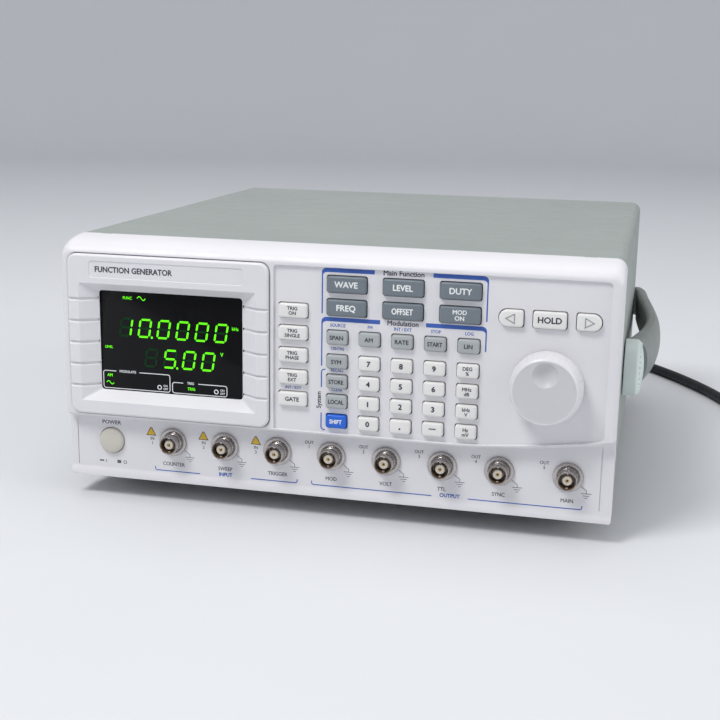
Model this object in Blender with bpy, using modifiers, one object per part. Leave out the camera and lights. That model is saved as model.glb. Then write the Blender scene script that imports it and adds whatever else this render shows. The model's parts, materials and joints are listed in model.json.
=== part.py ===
"""Bench function generator: moulded front with keys, knob and coaxial sockets, sheet-metal case, bail handle
and mains lead. Metres, +Z up, the front faces -Y, origin at the middle of the standing surface."""

import math

import bmesh
import bpy
from mathutils import Matrix, Vector

# Driving dimensions in millimetres. x runs across from the middle, y back from the seam between the
# bezel and the cover, z up from the bezel's bottom edge. point() turns them into the world's metres.
MM = 0.001
SEAM_Y = -140.0
FOOT_H = 11.4
GAP = 0.3

HALF_W = 145.0
COVER_D = 285.0
COVER_H = 130.6
COVER_RADIUS = 6.0
COVER_SIDE_BOTTOM = 12.6
SHEET = 1.2

FACE_Y = -20.0
STRIP_Y = -14.0
RECESS_Y = -18.6
PANEL_BACK_Y = -16.1
STRIP_BACK_Y = -11.5
WALL = 2.5
LEDGE_Z = 34.2
BEZEL_EDGE = 3.0

SURROUND = (-140.6, -30.6, 36.6, 122.3)
SURROUND_FRONT = -22.0
SURROUND_BACK = -13.0
FUNNEL_FRONT = (-134.5, -36.8, 44.1, 106.9)
WINDOW_HOLE = (-125.2, -46.0, 49.2, 102.8)
FUNNEL_DEPTH = 5.7
RIB_PITCH = 11.6
RIB_TOP_Z = 98.9
RIB_COUNT = 5

RECESS = (-28.2, 139.4, 121.7)
LIP = 2.2

KEY_FRONT = -21.0
KEY_REAR = -13.8
KEY_TRAVEL = 1.3
KEY_CLEAR = 0.35
FLANGE = 0.9
BOARD_FRONT = -9.0
BOARD_THICK = 1.6

COLUMN_X = [5.1 + 16.65 * i for i in range(5)]
ROW_Z = [42.75 + 10.4 * i for i in range(4)]
SWEEP_Z = 86.35
SMALL_KEY = (11.6, 7.9)
LARGE_X = [9.7 + 28.6 * i for i in range(3)]
LARGE_Z = (113.45, 101.65)
LARGE_KEY = (21.2, 9.2)
TRIGGER_X = -18.0
TRIGGER_Z = [98.9 - 11.5 * i for i in range(5)]
TRIGGER_KEY = (16.0, 8.2)
CURSOR_X = (91.8, 110.5, 129.2)
CURSOR_Z = 101.8
CURSOR_KEY = (12.8, 9.2)
HOLD_KEY = (17.0, 9.2)

KNOB = (110.6, 68.8)
KNOB_R = 18.0
KNOB_FRONT = -32.0
DIMPLE_R = 6.4
DIMPLE_UP = 8.6

POWER = (-121.2, 20.3)
POWER_R = 7.0
POWER_FRONT = -16.4

JACK_X = [-85.9 + 29.1 * i for i in range(7)] + [123.0]
JACK_Z = 22.4
JACK_RING_R = 7.6
JACK_BARREL_R = 4.9
JACK_FRONT = -22.0

HUB_Y = 42.0
HUB_Z = 67.5
HUB_R = 15.0
HUB_OUT = 155.6
BAR_Y = 302.0
BAR_Z = 59.0
INLET = (95.0, 28.0)

LEAD_D = 7.0
COIL_CENTRE = (272.0, 262.0)
COIL_R = (25.3, 50.2)
COIL_H = 14.2


def point(x, y, z):
    """World position in metres of a place in the case's own millimetres."""
    return Vector((x, y + SEAM_Y, z + FOOT_H)) * MM


# ---------------------------------------------------------------- scene and materials


def clear_scene():
    for obj in list(bpy.data.objects):
        bpy.data.objects.remove(obj)


def collection(name):
    made = bpy.data.collections.new(name)
    bpy.context.scene.collection.children.link(made)
    return made


def material(name, colour, roughness, metallic=0.0, alpha=1.0):
    made = bpy.data.materials.new(name)
    made.use_nodes = True
    shader = made.node_tree.nodes["Principled BSDF"]
    shader.inputs["Base Color"].default_value = (*colour, 1.0)
    shader.inputs["Roughness"].default_value = roughness
    shader.inputs["Metallic"].default_value = metallic
    shader.inputs["Alpha"].default_value = alpha
    made.diffuse_color = (*colour, alpha)
    return made


clear_scene()
PARTS = collection("function_generator")
CUTTERS = collection("cutters")
CUTTERS.hide_render = True
MATERIALS = {
    "bezel": material("bezel", (0.74, 0.73, 0.76), 0.45),
    "key_white": material("key_white", (0.80, 0.79, 0.77), 0.4),
    "key_grey": material("key_grey", (0.36, 0.39, 0.40), 0.42),
    "key_dark": material("key_dark", (0.13, 0.16, 0.18), 0.42),
    "key_blue": material("key_blue", (0.01, 0.12, 0.62), 0.4),
    "window": material("window", (0.01, 0.01, 0.012), 0.12),
    "board": material("board", (0.02, 0.16, 0.06), 0.5),
    "jack": material("jack", (0.45, 0.43, 0.42), 0.3, 1.0),
    "power_button": material("power_button", (0.60, 0.58, 0.50), 0.4),
    "cover": material("cover", (0.38, 0.43, 0.39), 0.55),
    "chassis": material("chassis", (0.55, 0.56, 0.55), 0.4, 0.8),
    "handle": material("handle", (0.26, 0.29, 0.27), 0.5),
    "hub": material("hub", (0.60, 0.68, 0.64), 0.45),
    "rubber": material("rubber", (0.02, 0.02, 0.02), 0.8),
    "lead": material("lead", (0.012, 0.012, 0.013), 0.5),
}


# ---------------------------------------------------------------- building blocks


def new_object(name, bm, slot, origin=(0.0, 0.0, 0.0), smooth=True):
    """An object with its origin at a world point. slot None makes a hidden cutter."""
    origin = Vector(origin)
    bmesh.ops.recalc_face_normals(bm, faces=bm.faces)
    bmesh.ops.translate(bm, verts=bm.verts, vec=-origin)
    mesh = bpy.data.meshes.new(name)
    bm.to_mesh(mesh)
    bm.free()
    obj = bpy.data.objects.new(name, mesh)
    obj.location = origin
    if slot is None:
        CUTTERS.objects.link(obj)
        obj.hide_render = True
        obj.display_type = "WIRE"
        return obj
    PARTS.objects.link(obj)
    mesh.materials.append(MATERIALS[slot])
    if smooth:
        mesh.shade_smooth()
        mesh.set_sharp_from_angle(angle=math.radians(35))
    return obj


def combine(obj, other, operation="DIFFERENCE"):
    modifier = obj.modifiers.new(other.name, "BOOLEAN")
    modifier.operation = operation
    modifier.solver = "EXACT"
    modifier.object = other
    return obj


def box_mesh(x, y, z, bevel=0.0, segments=1):
    """A box over three (low, high) ranges, with all its edges bevelled."""
    low = point(x[0], y[0], z[0])
    high = point(x[1], y[1], z[1])
    bm = bmesh.new()
    move = Matrix.Translation((low + high) / 2)
    bmesh.ops.create_cube(bm, size=1.0, matrix=move @ Matrix.Diagonal((*(high - low), 1.0)))
    if bevel:
        bmesh.ops.bevel(
            bm, geom=list(bm.edges), offset=bevel * MM, segments=segments, profile=0.5, affect="EDGES"
        )
    return bm


def box(name, slot, x, y, z, bevel=0.0, segments=1, origin=(0.0, 0.0, 0.0)):
    return new_object(name, box_mesh(x, y, z, bevel, segments), slot, origin)


def arc(centre_x, centre_z, radius, start, end, steps):
    """Points on an arc from start to end degrees, both ends included."""
    angles = [math.radians(start + (end - start) * i / steps) for i in range(steps + 1)]
    return [(centre_x + radius * math.cos(a), centre_z + radius * math.sin(a)) for a in angles]


def rounded_rect(x0, x1, z0, z1, radius, steps=3):
    """Outline of a rounded rectangle, anticlockwise seen from the front's right-hand rule."""
    corners = ((x1, z0, -90, -1, 1), (x1, z1, 0, -1, -1), (x0, z1, 90, 1, -1), (x0, z0, 180, 1, 1))
    outline = []
    for x, z, start, side_x, side_z in corners:
        outline += arc(x + side_x * radius, z + side_z * radius, radius, start, start + 90, steps)
    return outline


def grown(outline, amount):
    """The outline moved outwards by about amount, from its own middle."""
    xs = [p[0] for p in outline]
    zs = [p[1] for p in outline]
    middle = ((min(xs) + max(xs)) / 2, (min(zs) + max(zs)) / 2)
    scale_x = 1 + 2 * amount / (max(xs) - min(xs))
    scale_z = 1 + 2 * amount / (max(zs) - min(zs))
    return [(middle[0] + (x - middle[0]) * scale_x, middle[1] + (z - middle[1]) * scale_z) for x, z in outline]


def loft(rings):
    """A closed solid through rings that have the same number of points."""
    bm = bmesh.new()
    rows = [[bm.verts.new(p) for p in ring] for ring in rings]
    count = len(rows[0])
    for near, far in zip(rows, rows[1:]):
        for i in range(count):
            bm.faces.new((near[i], near[(i + 1) % count], far[(i + 1) % count], far[i]))
    bm.faces.new(rows[0])
    bm.faces.new(rows[-1])
    return bm


def stepped(steps):
    """A solid through (y, outline) steps, from the front to the back."""
    return loft([[point(x, y, z) for x, z in outline] for y, outline in steps])


def turned(name, slot, profile, centre, steps, towards="front"):
    """A turned piece: (radius, height) pairs from its tip round to its back, the axis through centre."""
    bm = bmesh.new()
    verts = [bm.verts.new((radius * MM, 0.0, height * MM)) for radius, height in profile]
    for a, b in zip(verts, verts[1:]):
        bm.edges.new((a, b))
    mesh = bpy.data.meshes.new(name)
    bm.to_mesh(mesh)
    bm.free()
    obj = bpy.data.objects.new(name, mesh)
    obj.location = centre
    turns = {"front": (math.pi / 2, 0, 0), "right": (0, math.pi / 2, 0), "left": (0, -math.pi / 2, 0)}
    obj.rotation_euler = turns.get(towards, (0.0, 0.0, 0.0))
    screw = obj.modifiers.new("Turn", "SCREW")
    screw.steps = steps
    screw.render_steps = steps
    screw.use_merge_vertices = True
    screw.merge_threshold = 0.00001
    screw.use_smooth_shade = True
    if slot is None:
        CUTTERS.objects.link(obj)
        obj.hide_render = True
        obj.display_type = "WIRE"
    else:
        PARTS.objects.link(obj)
        mesh.materials.append(MATERIALS[slot])
    return obj


def rod(name, slot, radius, centre, near, far, steps, towards="front"):
    """A plain cylinder from near to far along its axis, measured from centre."""
    profile = [(0, far), (radius, far), (radius, near), (0, near)]
    return turned(name, slot, profile, centre, steps, towards)


# ---------------------------------------------------------------- front


def ledge(x):
    """Height of the upper panel's lower edge, which rises towards the right-hand end."""
    rise = max(0.0, (x - 62.0) / 78.0)
    return LEDGE_Z + 7.0 * rise**1.7


def ledge_line(lift, x0, x1, count=10):
    """Points along the ledge from x0 to x1, lifted by an amount."""
    return [(x0 + (x1 - x0) * i / count, ledge(x0 + (x1 - x0) * i / count) + lift) for i in range(count + 1)]


def bezel_blank():
    """The bezel's outer block: its side profile drawn across the whole width, with rounded ends."""
    side = [(0, COVER_H), (-10.5, 129.4), (-17.0, 126.9), (FACE_Y, 122.6), (FACE_Y, 0.0), (0.0, 0.0)]
    bm = loft([[point(x, y, z) for y, z in side] for x in (-HALF_W, HALF_W)])
    ends = [e for e in bm.edges if abs(abs((e.verts[0].co + e.verts[1].co).x / 2) - HALF_W * MM) < 1e-6]
    seam = SEAM_Y * MM
    ends = [e for e in ends if min(v.co.y for v in e.verts) < seam - 1e-5]
    bmesh.ops.bevel(bm, geom=ends, offset=BEZEL_EDGE * MM, segments=3, profile=0.5, affect="EDGES")
    return bm


def strip_cutter():
    """What is cut away in front of the lower strip, up to the ledge."""
    right = arc(HALF_W - 3.6, ledge(HALF_W) + 4.0, 4.0, -80, 0, 3)
    left = arc(-HALF_W + 3.2, LEDGE_Z + 3.6, 3.6, 180, 262, 3)
    line = left + ledge_line(0.0, -138.0, 136.0, 14) + right
    outline = [(-160, line[0][1])] + line + [(160, line[-1][1]), (160, -10), (-160, -10)]
    return stepped([(-30, outline), (STRIP_Y, outline)])


def cavity_upper():
    line = ledge_line(WALL, -HALF_W + WALL, HALF_W - WALL)
    outline = line + [(HALF_W - WALL, 124.6), (-HALF_W + WALL, 124.6)]
    return stepped([(PANEL_BACK_Y, outline), (5.0, outline)])


def recess_cutter():
    left, right, top = RECESS
    line = ledge_line(LIP, left, right)
    outline = line[:-1] + arc(right - 2.0, line[-1][1] + 2.0, 2.0, -80, 0, 2)
    outline += arc(right - 2.0, top - 2.0, 2.0, 0, 90, 2) + arc(left + 1.5, top - 1.5, 1.5, 90, 180, 2)
    return stepped([(-30, outline), (RECESS_Y, outline)])


def key_outline(kind, x, z, width, height):
    """A key's outline in its hole: square with cut corners, or with one rounded end."""
    x0, x1 = x - width / 2, x + width / 2
    z0, z1 = z - height / 2, z + height / 2
    if kind == "plain":
        return rounded_rect(x0, x1, z0, z1, 1.0, 1)
    half = height / 2
    if kind == "left":
        return arc(x0 + half, z, half, 90, 270, 6) + [(x1 - 1, z0), (x1, z0 + 1), (x1, z1 - 1), (x1 - 1, z1)]
    return arc(x1 - half, z, half, -90, 90, 6) + [(x0 + 1, z1), (x0, z1 - 1), (x0, z0 + 1), (x0 + 1, z0)]


def key_list():
    """Every key as (name, slot, kind, x, z, width, height)."""
    keys = []
    for name, z in zip(("gate_on", "gate_single", "gate_phase", "gate_external", "gate_time"), TRIGGER_Z):
        keys.append((name, "key_white", "plain", TRIGGER_X, z, *TRIGGER_KEY))
    large = (("waveform", "amplitude", "duty"), ("frequency", "offset", "modulation"))
    for names, z in zip(large, LARGE_Z):
        for name, x in zip(names, LARGE_X):
            keys.append((name, "key_dark", "plain", x, z, *LARGE_KEY))
    for name, x in zip(("span", "am", "rate", "start", "linear"), COLUMN_X):
        keys.append((name, "key_grey", "plain", x, SWEEP_Z, *SMALL_KEY))
    grid = (
        ("shift", "0", "point", "minus", "unit_hz"),
        ("remote", "1", "2", "3", "unit_khz"),
        ("store", "4", "5", "6", "unit_mhz"),
        ("symmetry", "7", "8", "9", "unit_degree"),
    )
    first = ("key_blue", "key_grey", "key_grey", "key_grey")
    for names, slot, z in zip(grid, first, ROW_Z):
        for name, x in zip(names, COLUMN_X):
            keys.append((name, slot if x == COLUMN_X[0] else "key_white", "plain", x, z, *SMALL_KEY))
    cursor = (("cursor_left", "left"), ("hold", "plain"), ("cursor_right", "right"))
    for (name, kind), x in zip(cursor, CURSOR_X):
        size = HOLD_KEY if name == "hold" else CURSOR_KEY
        keys.append((name, "key_white", kind, x, CURSOR_Z, *size))
    return keys


def make_bezel():
    bezel = new_object("front_bezel", bezel_blank(), "bezel")
    combine(bezel, new_object("cut_strip", strip_cutter(), None))
    combine(bezel, new_object("cut_cavity_upper", cavity_upper(), None))
    lower = ((-HALF_W + WALL, HALF_W - WALL), (STRIP_BACK_Y, 5.0), (WALL, 60.0))
    combine(bezel, box("cut_cavity_lower", None, *lower))
    x0, x1, z0, z1 = SURROUND
    opening = rounded_rect(x0 - GAP, x1 + GAP, z0 - GAP, z1 + GAP, 5.0)
    combine(bezel, new_object("cut_surround", stepped([(-30, opening), (-11, opening)]), None))
    combine(bezel, new_object("cut_recess", recess_cutter(), None))
    for name, _, kind, x, z, width, height in key_list():
        hole = key_outline(kind, x, z, width, height)
        cutter = new_object("cut_key_" + name, stepped([(-25, hole), (-14.5, hole)]), None)
        combine(bezel, cutter)
    knob_at = point(KNOB[0], 0, KNOB[1])
    combine(bezel, rod("cut_shaft", None, 4.0, knob_at, 10, 25, 16))
    power_at = point(POWER[0], 0, POWER[1])
    combine(bezel, rod("cut_power", None, POWER_R + KEY_CLEAR, power_at, 5, 20, 32))
    for i, x in enumerate(JACK_X):
        combine(bezel, rod(f"cut_jack_{i + 1}", None, 6.1, point(x, 0, JACK_Z), 5, 20, 16))
    return bezel


def make_surround():
    x0, x1, z0, z1 = SURROUND
    outline = rounded_rect(x0, x1, z0, z1, 5.0)
    front = rounded_rect(x0 + 1.2, x1 - 1.2, z0 + 1.2, z1 - 1.2, 4.0)
    steps = [(SURROUND_FRONT, front), (SURROUND_FRONT + 0.5, grown(front, 0.8)), (-20.6, outline)]
    surround = new_object("display_surround", stepped(steps + [(SURROUND_BACK, outline)]), "bezel")
    wide = rounded_rect(*FUNNEL_FRONT, 0.6, 2)
    narrow = rounded_rect(*WINDOW_HOLE, 1.5, 2)
    bottom = SURROUND_FRONT + FUNNEL_DEPTH
    funnel = stepped([(SURROUND_FRONT - 0.01, wide), (bottom, narrow), (-5.0, narrow)])
    combine(surround, new_object("cut_funnel", funnel, None))
    left, right, low, high = WINDOW_HOLE
    pocket = ((left - 2.0, right + 2.0), (bottom + 0.4, -5.0), (low - 2.0, high + 2.0))
    combine(surround, box("cut_window_pocket", None, *pocket))
    plate = rounded_rect(-127.9, -44.0, 110.4, 118.8, 0.8, 2)
    plate_cut = stepped([(-30, plate), (SURROUND_FRONT + 0.4, plate)])
    combine(surround, new_object("cut_nameplate", plate_cut, None))
    for side, (x_low, x_high) in enumerate(((-140.0, -122.0), (-49.0, -31.2))):
        for i in range(RIB_COUNT):
            z = RIB_TOP_Z - RIB_PITCH * i
            groove = ((x_low, x_high), (-30.0, SURROUND_FRONT + 0.6), (z - 1.1, z + 0.3))
            combine(surround, box(f"cut_groove_{side}_{i}", None, *groove))
    return surround


def make_window():
    left, right, low, high = WINDOW_HOLE
    front = SURROUND_FRONT + FUNNEL_DEPTH + 0.4 + GAP
    window = ((left - 1.7, right + 1.7), (front, front + 2.4), (low - 1.7, high + 1.7))
    return box("display_window", "window", *window)


def make_front_board():
    """Circuit board behind the front, with the display module, a switch under each key, and the encoder."""
    back = BOARD_FRONT + BOARD_THICK
    board = box("front_board", "board", (-139.0, 139.5), (BOARD_FRONT, back), (33.6, 122.0))
    module = ((-124.0, -47.0), (-12.9, BOARD_FRONT + 0.4), (50.0, 102.0))
    combine(board, box("add_display_module", None, *module), "UNION")
    top = KEY_REAR + KEY_TRAVEL + GAP
    for name, _, _, x, z, _, _ in key_list():
        switch = ((x - 3.0, x + 3.0), (top, BOARD_FRONT + 0.4), (z - 2.6, z + 2.6))
        combine(board, box("add_switch_" + name, None, *switch), "UNION")
    encoder = ((KNOB[0] - 6.0, KNOB[0] + 6.0), (-14.0, BOARD_FRONT + 0.4), (KNOB[1] - 6.0, KNOB[1] + 6.0))
    combine(board, box("add_encoder", None, *encoder), "UNION")
    shaft = rod("add_shaft", None, 3.0, point(KNOB[0], 0, KNOB[1]), 13.5, 27.0, 12)
    return combine(board, shaft, "UNION")


def make_key(name, slot, kind, x, z, width, height):
    """A key cap with a flange behind the panel that stops it falling out."""
    outline = grown(key_outline(kind, x, z, width, height), -KEY_CLEAR)
    wide = grown(outline, FLANGE)
    flange = PANEL_BACK_Y + GAP
    steps = [(KEY_FRONT, grown(outline, -0.6)), (KEY_FRONT + 0.6, outline), (flange, outline), (flange, wide)]
    steps += [(flange + 1.0, wide), (flange + 1.0, grown(outline, -1.0)), (KEY_REAR, grown(outline, -1.0))]
    return new_object("key_" + name, stepped(steps), slot, point(x, KEY_FRONT, z))


def make_knob():
    """Round knob with a chamfered rim, a finger dimple and a blind hole for the encoder's shaft."""
    back = -RECESS_Y + GAP
    front = -KNOB_FRONT
    profile = [(0, front), (15.6, front), (16.6, front - 0.5), (17.0, front - 2.5), (KNOB_R, front - 6.0)]
    profile += [(KNOB_R, back), (3.4, back), (3.4, 27.6), (0, 27.6)]
    centre = point(KNOB[0], 0, KNOB[1])
    knob = turned("knob", "key_white", profile, centre, 40)
    bm = bmesh.new()
    at = point(KNOB[0], KNOB_FRONT - 4.2, KNOB[1] + DIMPLE_UP)
    radius = math.hypot(DIMPLE_R, 4.2) * MM
    turn = Matrix.Translation(at) @ Matrix.Rotation(math.pi / 2, 4, "X")
    bmesh.ops.create_uvsphere(bm, u_segments=16, v_segments=12, radius=radius, matrix=turn)
    return combine(knob, new_object("cut_dimple", bm, None))


def make_power_button():
    front = -POWER_FRONT
    profile = [(0, front), (POWER_R - 0.8, front - 0.15), (POWER_R - 0.1, front - 0.7), (POWER_R, front - 1.5)]
    profile += [(POWER_R, 8.2), (POWER_R + 1.3, 8.2), (POWER_R + 1.3, 6.7), (3.0, 6.7), (3.0, 2.0), (0, 2.0)]
    return turned("power_button", "power_button", profile, point(POWER[0], 0, POWER[1]), 28)


def make_jacks():
    """Eight coaxial sockets on one earth plate: ring, barrel, and an insulator set back in its mouth."""
    plate = ((JACK_X[0] - 8.5, JACK_X[-1] + 8.5), (-6.5, -5.0), (JACK_Z - 8.5, JACK_Z + 8.5))
    jacks = box("coaxial_sockets", "jack", *plate)
    ring = -STRIP_Y + GAP
    front = -JACK_FRONT
    profile = [(0, front - 3.6), (4.1, front - 3.6), (4.1, front), (JACK_BARREL_R, front)]
    profile += [(JACK_BARREL_R, ring + 1.2), (JACK_RING_R, ring + 1.2), (JACK_RING_R, ring), (5.8, ring)]
    profile += [(5.8, 5.8), (0, 5.8)]
    for i, x in enumerate(JACK_X):
        combine(jacks, turned(f"add_jack_{i + 1}", None, profile, point(x, 0, JACK_Z), 20), "UNION")
    return jacks


# ---------------------------------------------------------------- case


def make_cover():
    """Sheet-metal top and sides in one piece, open below, in front and behind."""
    corner = COVER_H - COVER_RADIUS
    path = [(HALF_W, COVER_SIDE_BOTTOM)] + arc(HALF_W - COVER_RADIUS, corner, COVER_RADIUS, 0, 90, 4)
    path += arc(-HALF_W + COVER_RADIUS, corner, COVER_RADIUS, 90, 180, 4) + [(-HALF_W, COVER_SIDE_BOTTOM)]
    bm = bmesh.new()
    front = [bm.verts.new(point(x, GAP, z)) for x, z in path]
    back = [bm.verts.new(point(x, COVER_D, z)) for x, z in path]
    for i in range(len(path) - 1):
        bm.faces.new((front[i], back[i], back[i + 1], front[i + 1]))
    mesh = bpy.data.meshes.new("case_cover")
    bm.to_mesh(mesh)
    bm.free()
    cover = bpy.data.objects.new("case_cover", mesh)
    PARTS.objects.link(cover)
    mesh.materials.append(MATERIALS["cover"])
    solid = cover.modifiers.new("Sheet", "SOLIDIFY")
    solid.thickness = SHEET * MM
    solid.offset = -1.0
    solid.use_even_offset = True
    hole = rod("cut_hub_holes", None, 4.6, point(0, HUB_Y, HUB_Z), -160, 160, 16, "right")
    return combine(cover, hole)


def make_chassis():
    """Bottom pan with turned-up sides, folded up into the rear panel."""
    inner = HALF_W - SHEET - 0.6
    rear = COVER_D - 0.6 - SHEET
    chassis = box("chassis", "chassis", (-inner, inner), (GAP, rear + 0.5), (1.0, 1.0 + SHEET))
    plate = rounded_rect(-inner, inner, 1.0, COVER_H - SHEET - 0.4, COVER_RADIUS - 1.0, 2)
    panel = new_object("add_rear_panel", stepped([(rear, plate), (rear + SHEET, plate)]), None)
    combine(chassis, panel, "UNION")
    for side, x in (("left", (-inner, -inner + SHEET)), ("right", (inner - SHEET, inner))):
        flange = (x, (GAP, rear + 0.5), (1.0, 30.0))
        combine(chassis, box("add_flange_" + side, None, *flange), "UNION")
    x, z = INLET
    through = (rear - 3.0, rear + 3.0)
    combine(chassis, box("cut_inlet", None, (x - 15.0, x + 15.0), through, (z - 12.0, z + 12.0)))
    combine(chassis, box("cut_serial", None, (14.0, 36.0), through, (22.0, 34.0)))
    for i in range(8):
        slot_x = -110.0 + 9.0 * i
        cutter = box(f"cut_vent_{i}", None, (slot_x, slot_x + 4.5), through, (80.0, 118.0))
        combine(chassis, cutter)
    return chassis


def make_main_board():
    """Main circuit board with the mains transformer, heat sink, power switch, inlet and serial connector."""
    z = 10.0
    board = box("main_board", "board", (-132.0, 132.0), (8.0, 276.0), (z, z + BOARD_THICK))
    over = z + BOARD_THICK - 0.4
    rear = COVER_D - 0.6 - SHEET
    x, inlet_z = INLET
    blocks = {
        "transformer": ((-120.0, -50.0), (190.0, 250.0), (over, 68.0)),
        "heat_sink": ((-30.0, 60.0), (215.0, 240.0), (over, 52.0)),
        "power_switch": ((-129.0, -113.0), (-0.9, 26.0), (over, 28.0)),
        "shield": ((20.0, 110.0), (40.0, 130.0), (over, 30.0)),
        "inlet_body": ((x - 14.6, x + 14.6), (266.0, rear - 0.5), (over, inlet_z + 11.6)),
        "inlet_neck": ((x - 14.6, x + 14.6), (rear - 2.0, rear + 1.6), (inlet_z - 11.6, inlet_z + 11.6)),
        "inlet_flange": ((x - 25.0, x + 25.0), (rear + SHEET + GAP, rear + 3.0), (14.0, inlet_z + 14.0)),
        "serial_body": ((14.4, 35.6), (268.0, rear - 0.5), (over, 33.6)),
        "serial_shell": ((14.4, 35.6), (rear - 2.0, rear + 5.5), (22.4, 33.6)),
    }
    for name, ranges in blocks.items():
        combine(board, box("add_" + name, None, *ranges), "UNION")
    pocket = ((x - 12.4, x + 12.4), (rear - 11.8, rear + 6.0), (inlet_z - 8.4, inlet_z + 8.4))
    return combine(board, box("cut_inlet_pocket", None, *pocket))


def make_feet():
    for end, y in (("front", 24.0), ("rear", 258.0)):
        for side, x in (("left", -118.0), ("right", 118.0)):
            profile = [(0, 0.7), (11.0, 0.7), (11.0, -1.8), (9.0, -FOOT_H + 0.8), (8.2, -FOOT_H), (0, -FOOT_H)]
            turned(f"foot_{end}_{side}", "rubber", profile, point(x, y, 0), 20, "up")


# ---------------------------------------------------------------- handle


def arm_stations():
    """The handle's outer line from the right hub to the rear crossbar: x, y, thickness, half height."""
    return [
        (155.4, 44.0, 9.4, 13.0),
        (157.4, 58.0, 11.3, 13.0),
        (159.8, 75.0, 11.0, 13.0),
        (162.4, 100.0, 9.8, 12.8),
        (163.7, 130.0, 8.8, 12.6),
        (163.0, 160.0, 8.5, 12.3),
        (160.4, 200.0, 8.5, 11.8),
        (157.4, 240.0, 8.8, 11.2),
        (155.4, 264.0, 8.4, 10.8),
        (154.6, 280.0, 7.8, 10.5),
        (152.6, 290.0, 7.2, 10.3),
        (150.4, 296.0, 5.6, 10.2),
        (146.0, 302.0, 10.4, 10.1),
        (134.0, 309.8, 16.4, 10.0),
        (112.0, 312.0, 18.0, 10.0),
        (60.0, 312.0, 18.0, 10.0),
    ]


def arm_section(station, heading, side):
    """One ring of the handle: flat inside, crowned outside."""
    x, y, thick, half = station
    across = Vector((heading.y, -heading.x)).normalized()
    z = HUB_Z + (BAR_Z - HUB_Z) * (y - HUB_Y) / (BAR_Y - HUB_Y)
    shape = [(1.0, 0.86), (0.6, 1.0), (0.18, 0.80), (0.0, 0.36)]
    shape += [(inward, -up) for inward, up in reversed(shape)]
    ring = []
    for inward, up in shape:
        at_x = x - across.x * thick * inward
        at_y = y - across.y * thick * inward
        ring.append(point(side * at_x, at_y, z + half * up))
    return ring


def make_handle():
    """Bail handle: two bowed arms and a crossbar in one piece, with an eye round each hub's pin."""
    stations = arm_stations()
    rings = []
    for i, station in enumerate(stations):
        before = stations[max(i - 1, 0)]
        after = stations[min(i + 1, len(stations) - 1)]
        heading = Vector((after[0] - before[0], after[1] - before[1]))
        rings.append((station, heading))
    right = [arm_section(station, heading, 1) for station, heading in rings]
    left = [arm_section(station, heading, -1) for station, heading in reversed(rings)]
    handle = new_object("handle", loft(right + left), "handle", point(0, HUB_Y, HUB_Z))
    hub_at = point(0, HUB_Y, HUB_Z)
    for side, sign in (("right", 1), ("left", -1)):
        inner = 138.0
        combine(handle, rod("cut_hub_" + side, None, HUB_R + GAP, hub_at, inner, 170, 32, side))
        combine(handle, rod("add_eye_" + side, None, 12.2, hub_at, 145.8, 149.3, 24, side), "UNION")
        neck_x = sorted((sign * 145.8, sign * 149.3))
        neck = (neck_x, (HUB_Y + 6.0, HUB_Y + 24.0), (HUB_Z - 10.0, HUB_Z + 9.6))
        combine(handle, box("add_neck_" + side, None, *neck), "UNION")
        combine(handle, rod("cut_eye_" + side, None, 4.4, hub_at, inner, 170, 16, side))
    return handle


def make_hubs():
    """Round hub caps over the handle's eyes, each with the pin that it turns on in the cover's side."""
    at = point(0, HUB_Y, HUB_Z)
    dome = [(0, HUB_OUT), (6.0, HUB_OUT - 0.4), (11.0, HUB_OUT - 1.4), (14.0, HUB_OUT - 2.6), (HUB_R, 152.0)]
    skirt = [(HUB_R, 145.6), (12.6, 145.6), (12.6, 149.7), (4.0, 149.7), (4.0, 141.0), (0, 141.0)]
    for side, sign in (("right", 1), ("left", -1)):
        hub = turned("hub_" + side, "hub", dome + skirt, at, 32, side)
        neck_x = sorted((sign * 140.0, sign * 149.7))
        slot = (neck_x, (HUB_Y + 4.5, HUB_Y + 24.0), (HUB_Z - 10.4, HUB_Z + 10.4))
        combine(hub, box("cut_neck_" + side, None, *slot))


# ---------------------------------------------------------------- mains lead


def lead_route():
    """Places that the lead passes through, from the connector's strain relief to the coil."""
    return [
        (95.0, 345.3, 28.0),
        (95.2, 356.0, 27.2),
        (98.0, 371.0, 22.5),
        (106.0, 386.0, 13.5),
        (119.0, 396.0, 3.5),
        (134.0, 397.0, -4.5),
        (148.5, 389.5, -7.8),
        (162.1, 374.3, -7.8),
        (172.2, 360.6, -7.8),
        (182.4, 345.4, -7.8),
        (194.0, 325.5, -7.8),
        (204.5, 305.0, -7.8),
        (213.0, 284.5, -7.8),
        (217.0, 276.5, -7.8),
    ]


def smooth_path(places, step):
    """A smooth curve through the places, with a point about every step millimetres."""
    places = [Vector(p) for p in places]
    ends = [2 * places[0] - places[1]] + places + [2 * places[-1] - places[-2]]
    path = []
    for a, b, c, d in zip(ends, ends[1:], ends[2:], ends[3:]):
        count = max(1, round((c - b).length / step))
        for i in range(count):
            t = i / count
            turn = (2 * a - 5 * b + 4 * c - d) * t * t + (3 * b - a - 3 * c + d) * t**3
            path.append((2 * b + (c - a) * t + turn) / 2)
    return path + [places[-1]]


def make_lead():
    """The stretch of lead between the connector and the coil, as a round tube."""
    curve = bpy.data.curves.new("mains_lead", "CURVE")
    curve.dimensions = "3D"
    curve.bevel_depth = LEAD_D / 2 * MM
    curve.bevel_resolution = 2
    curve.use_fill_caps = True
    spline = curve.splines.new("POLY")
    path = smooth_path(lead_route(), 2.4 * LEAD_D)
    spline.points.add(len(path) - 1)
    for place, at in zip(path, spline.points):
        at.co = (*point(*place), 1.0)
    curve.materials.append(MATERIALS["lead"])
    lead = bpy.data.objects.new("mains_lead", curve)
    PARTS.objects.link(lead)
    return lead


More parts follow.
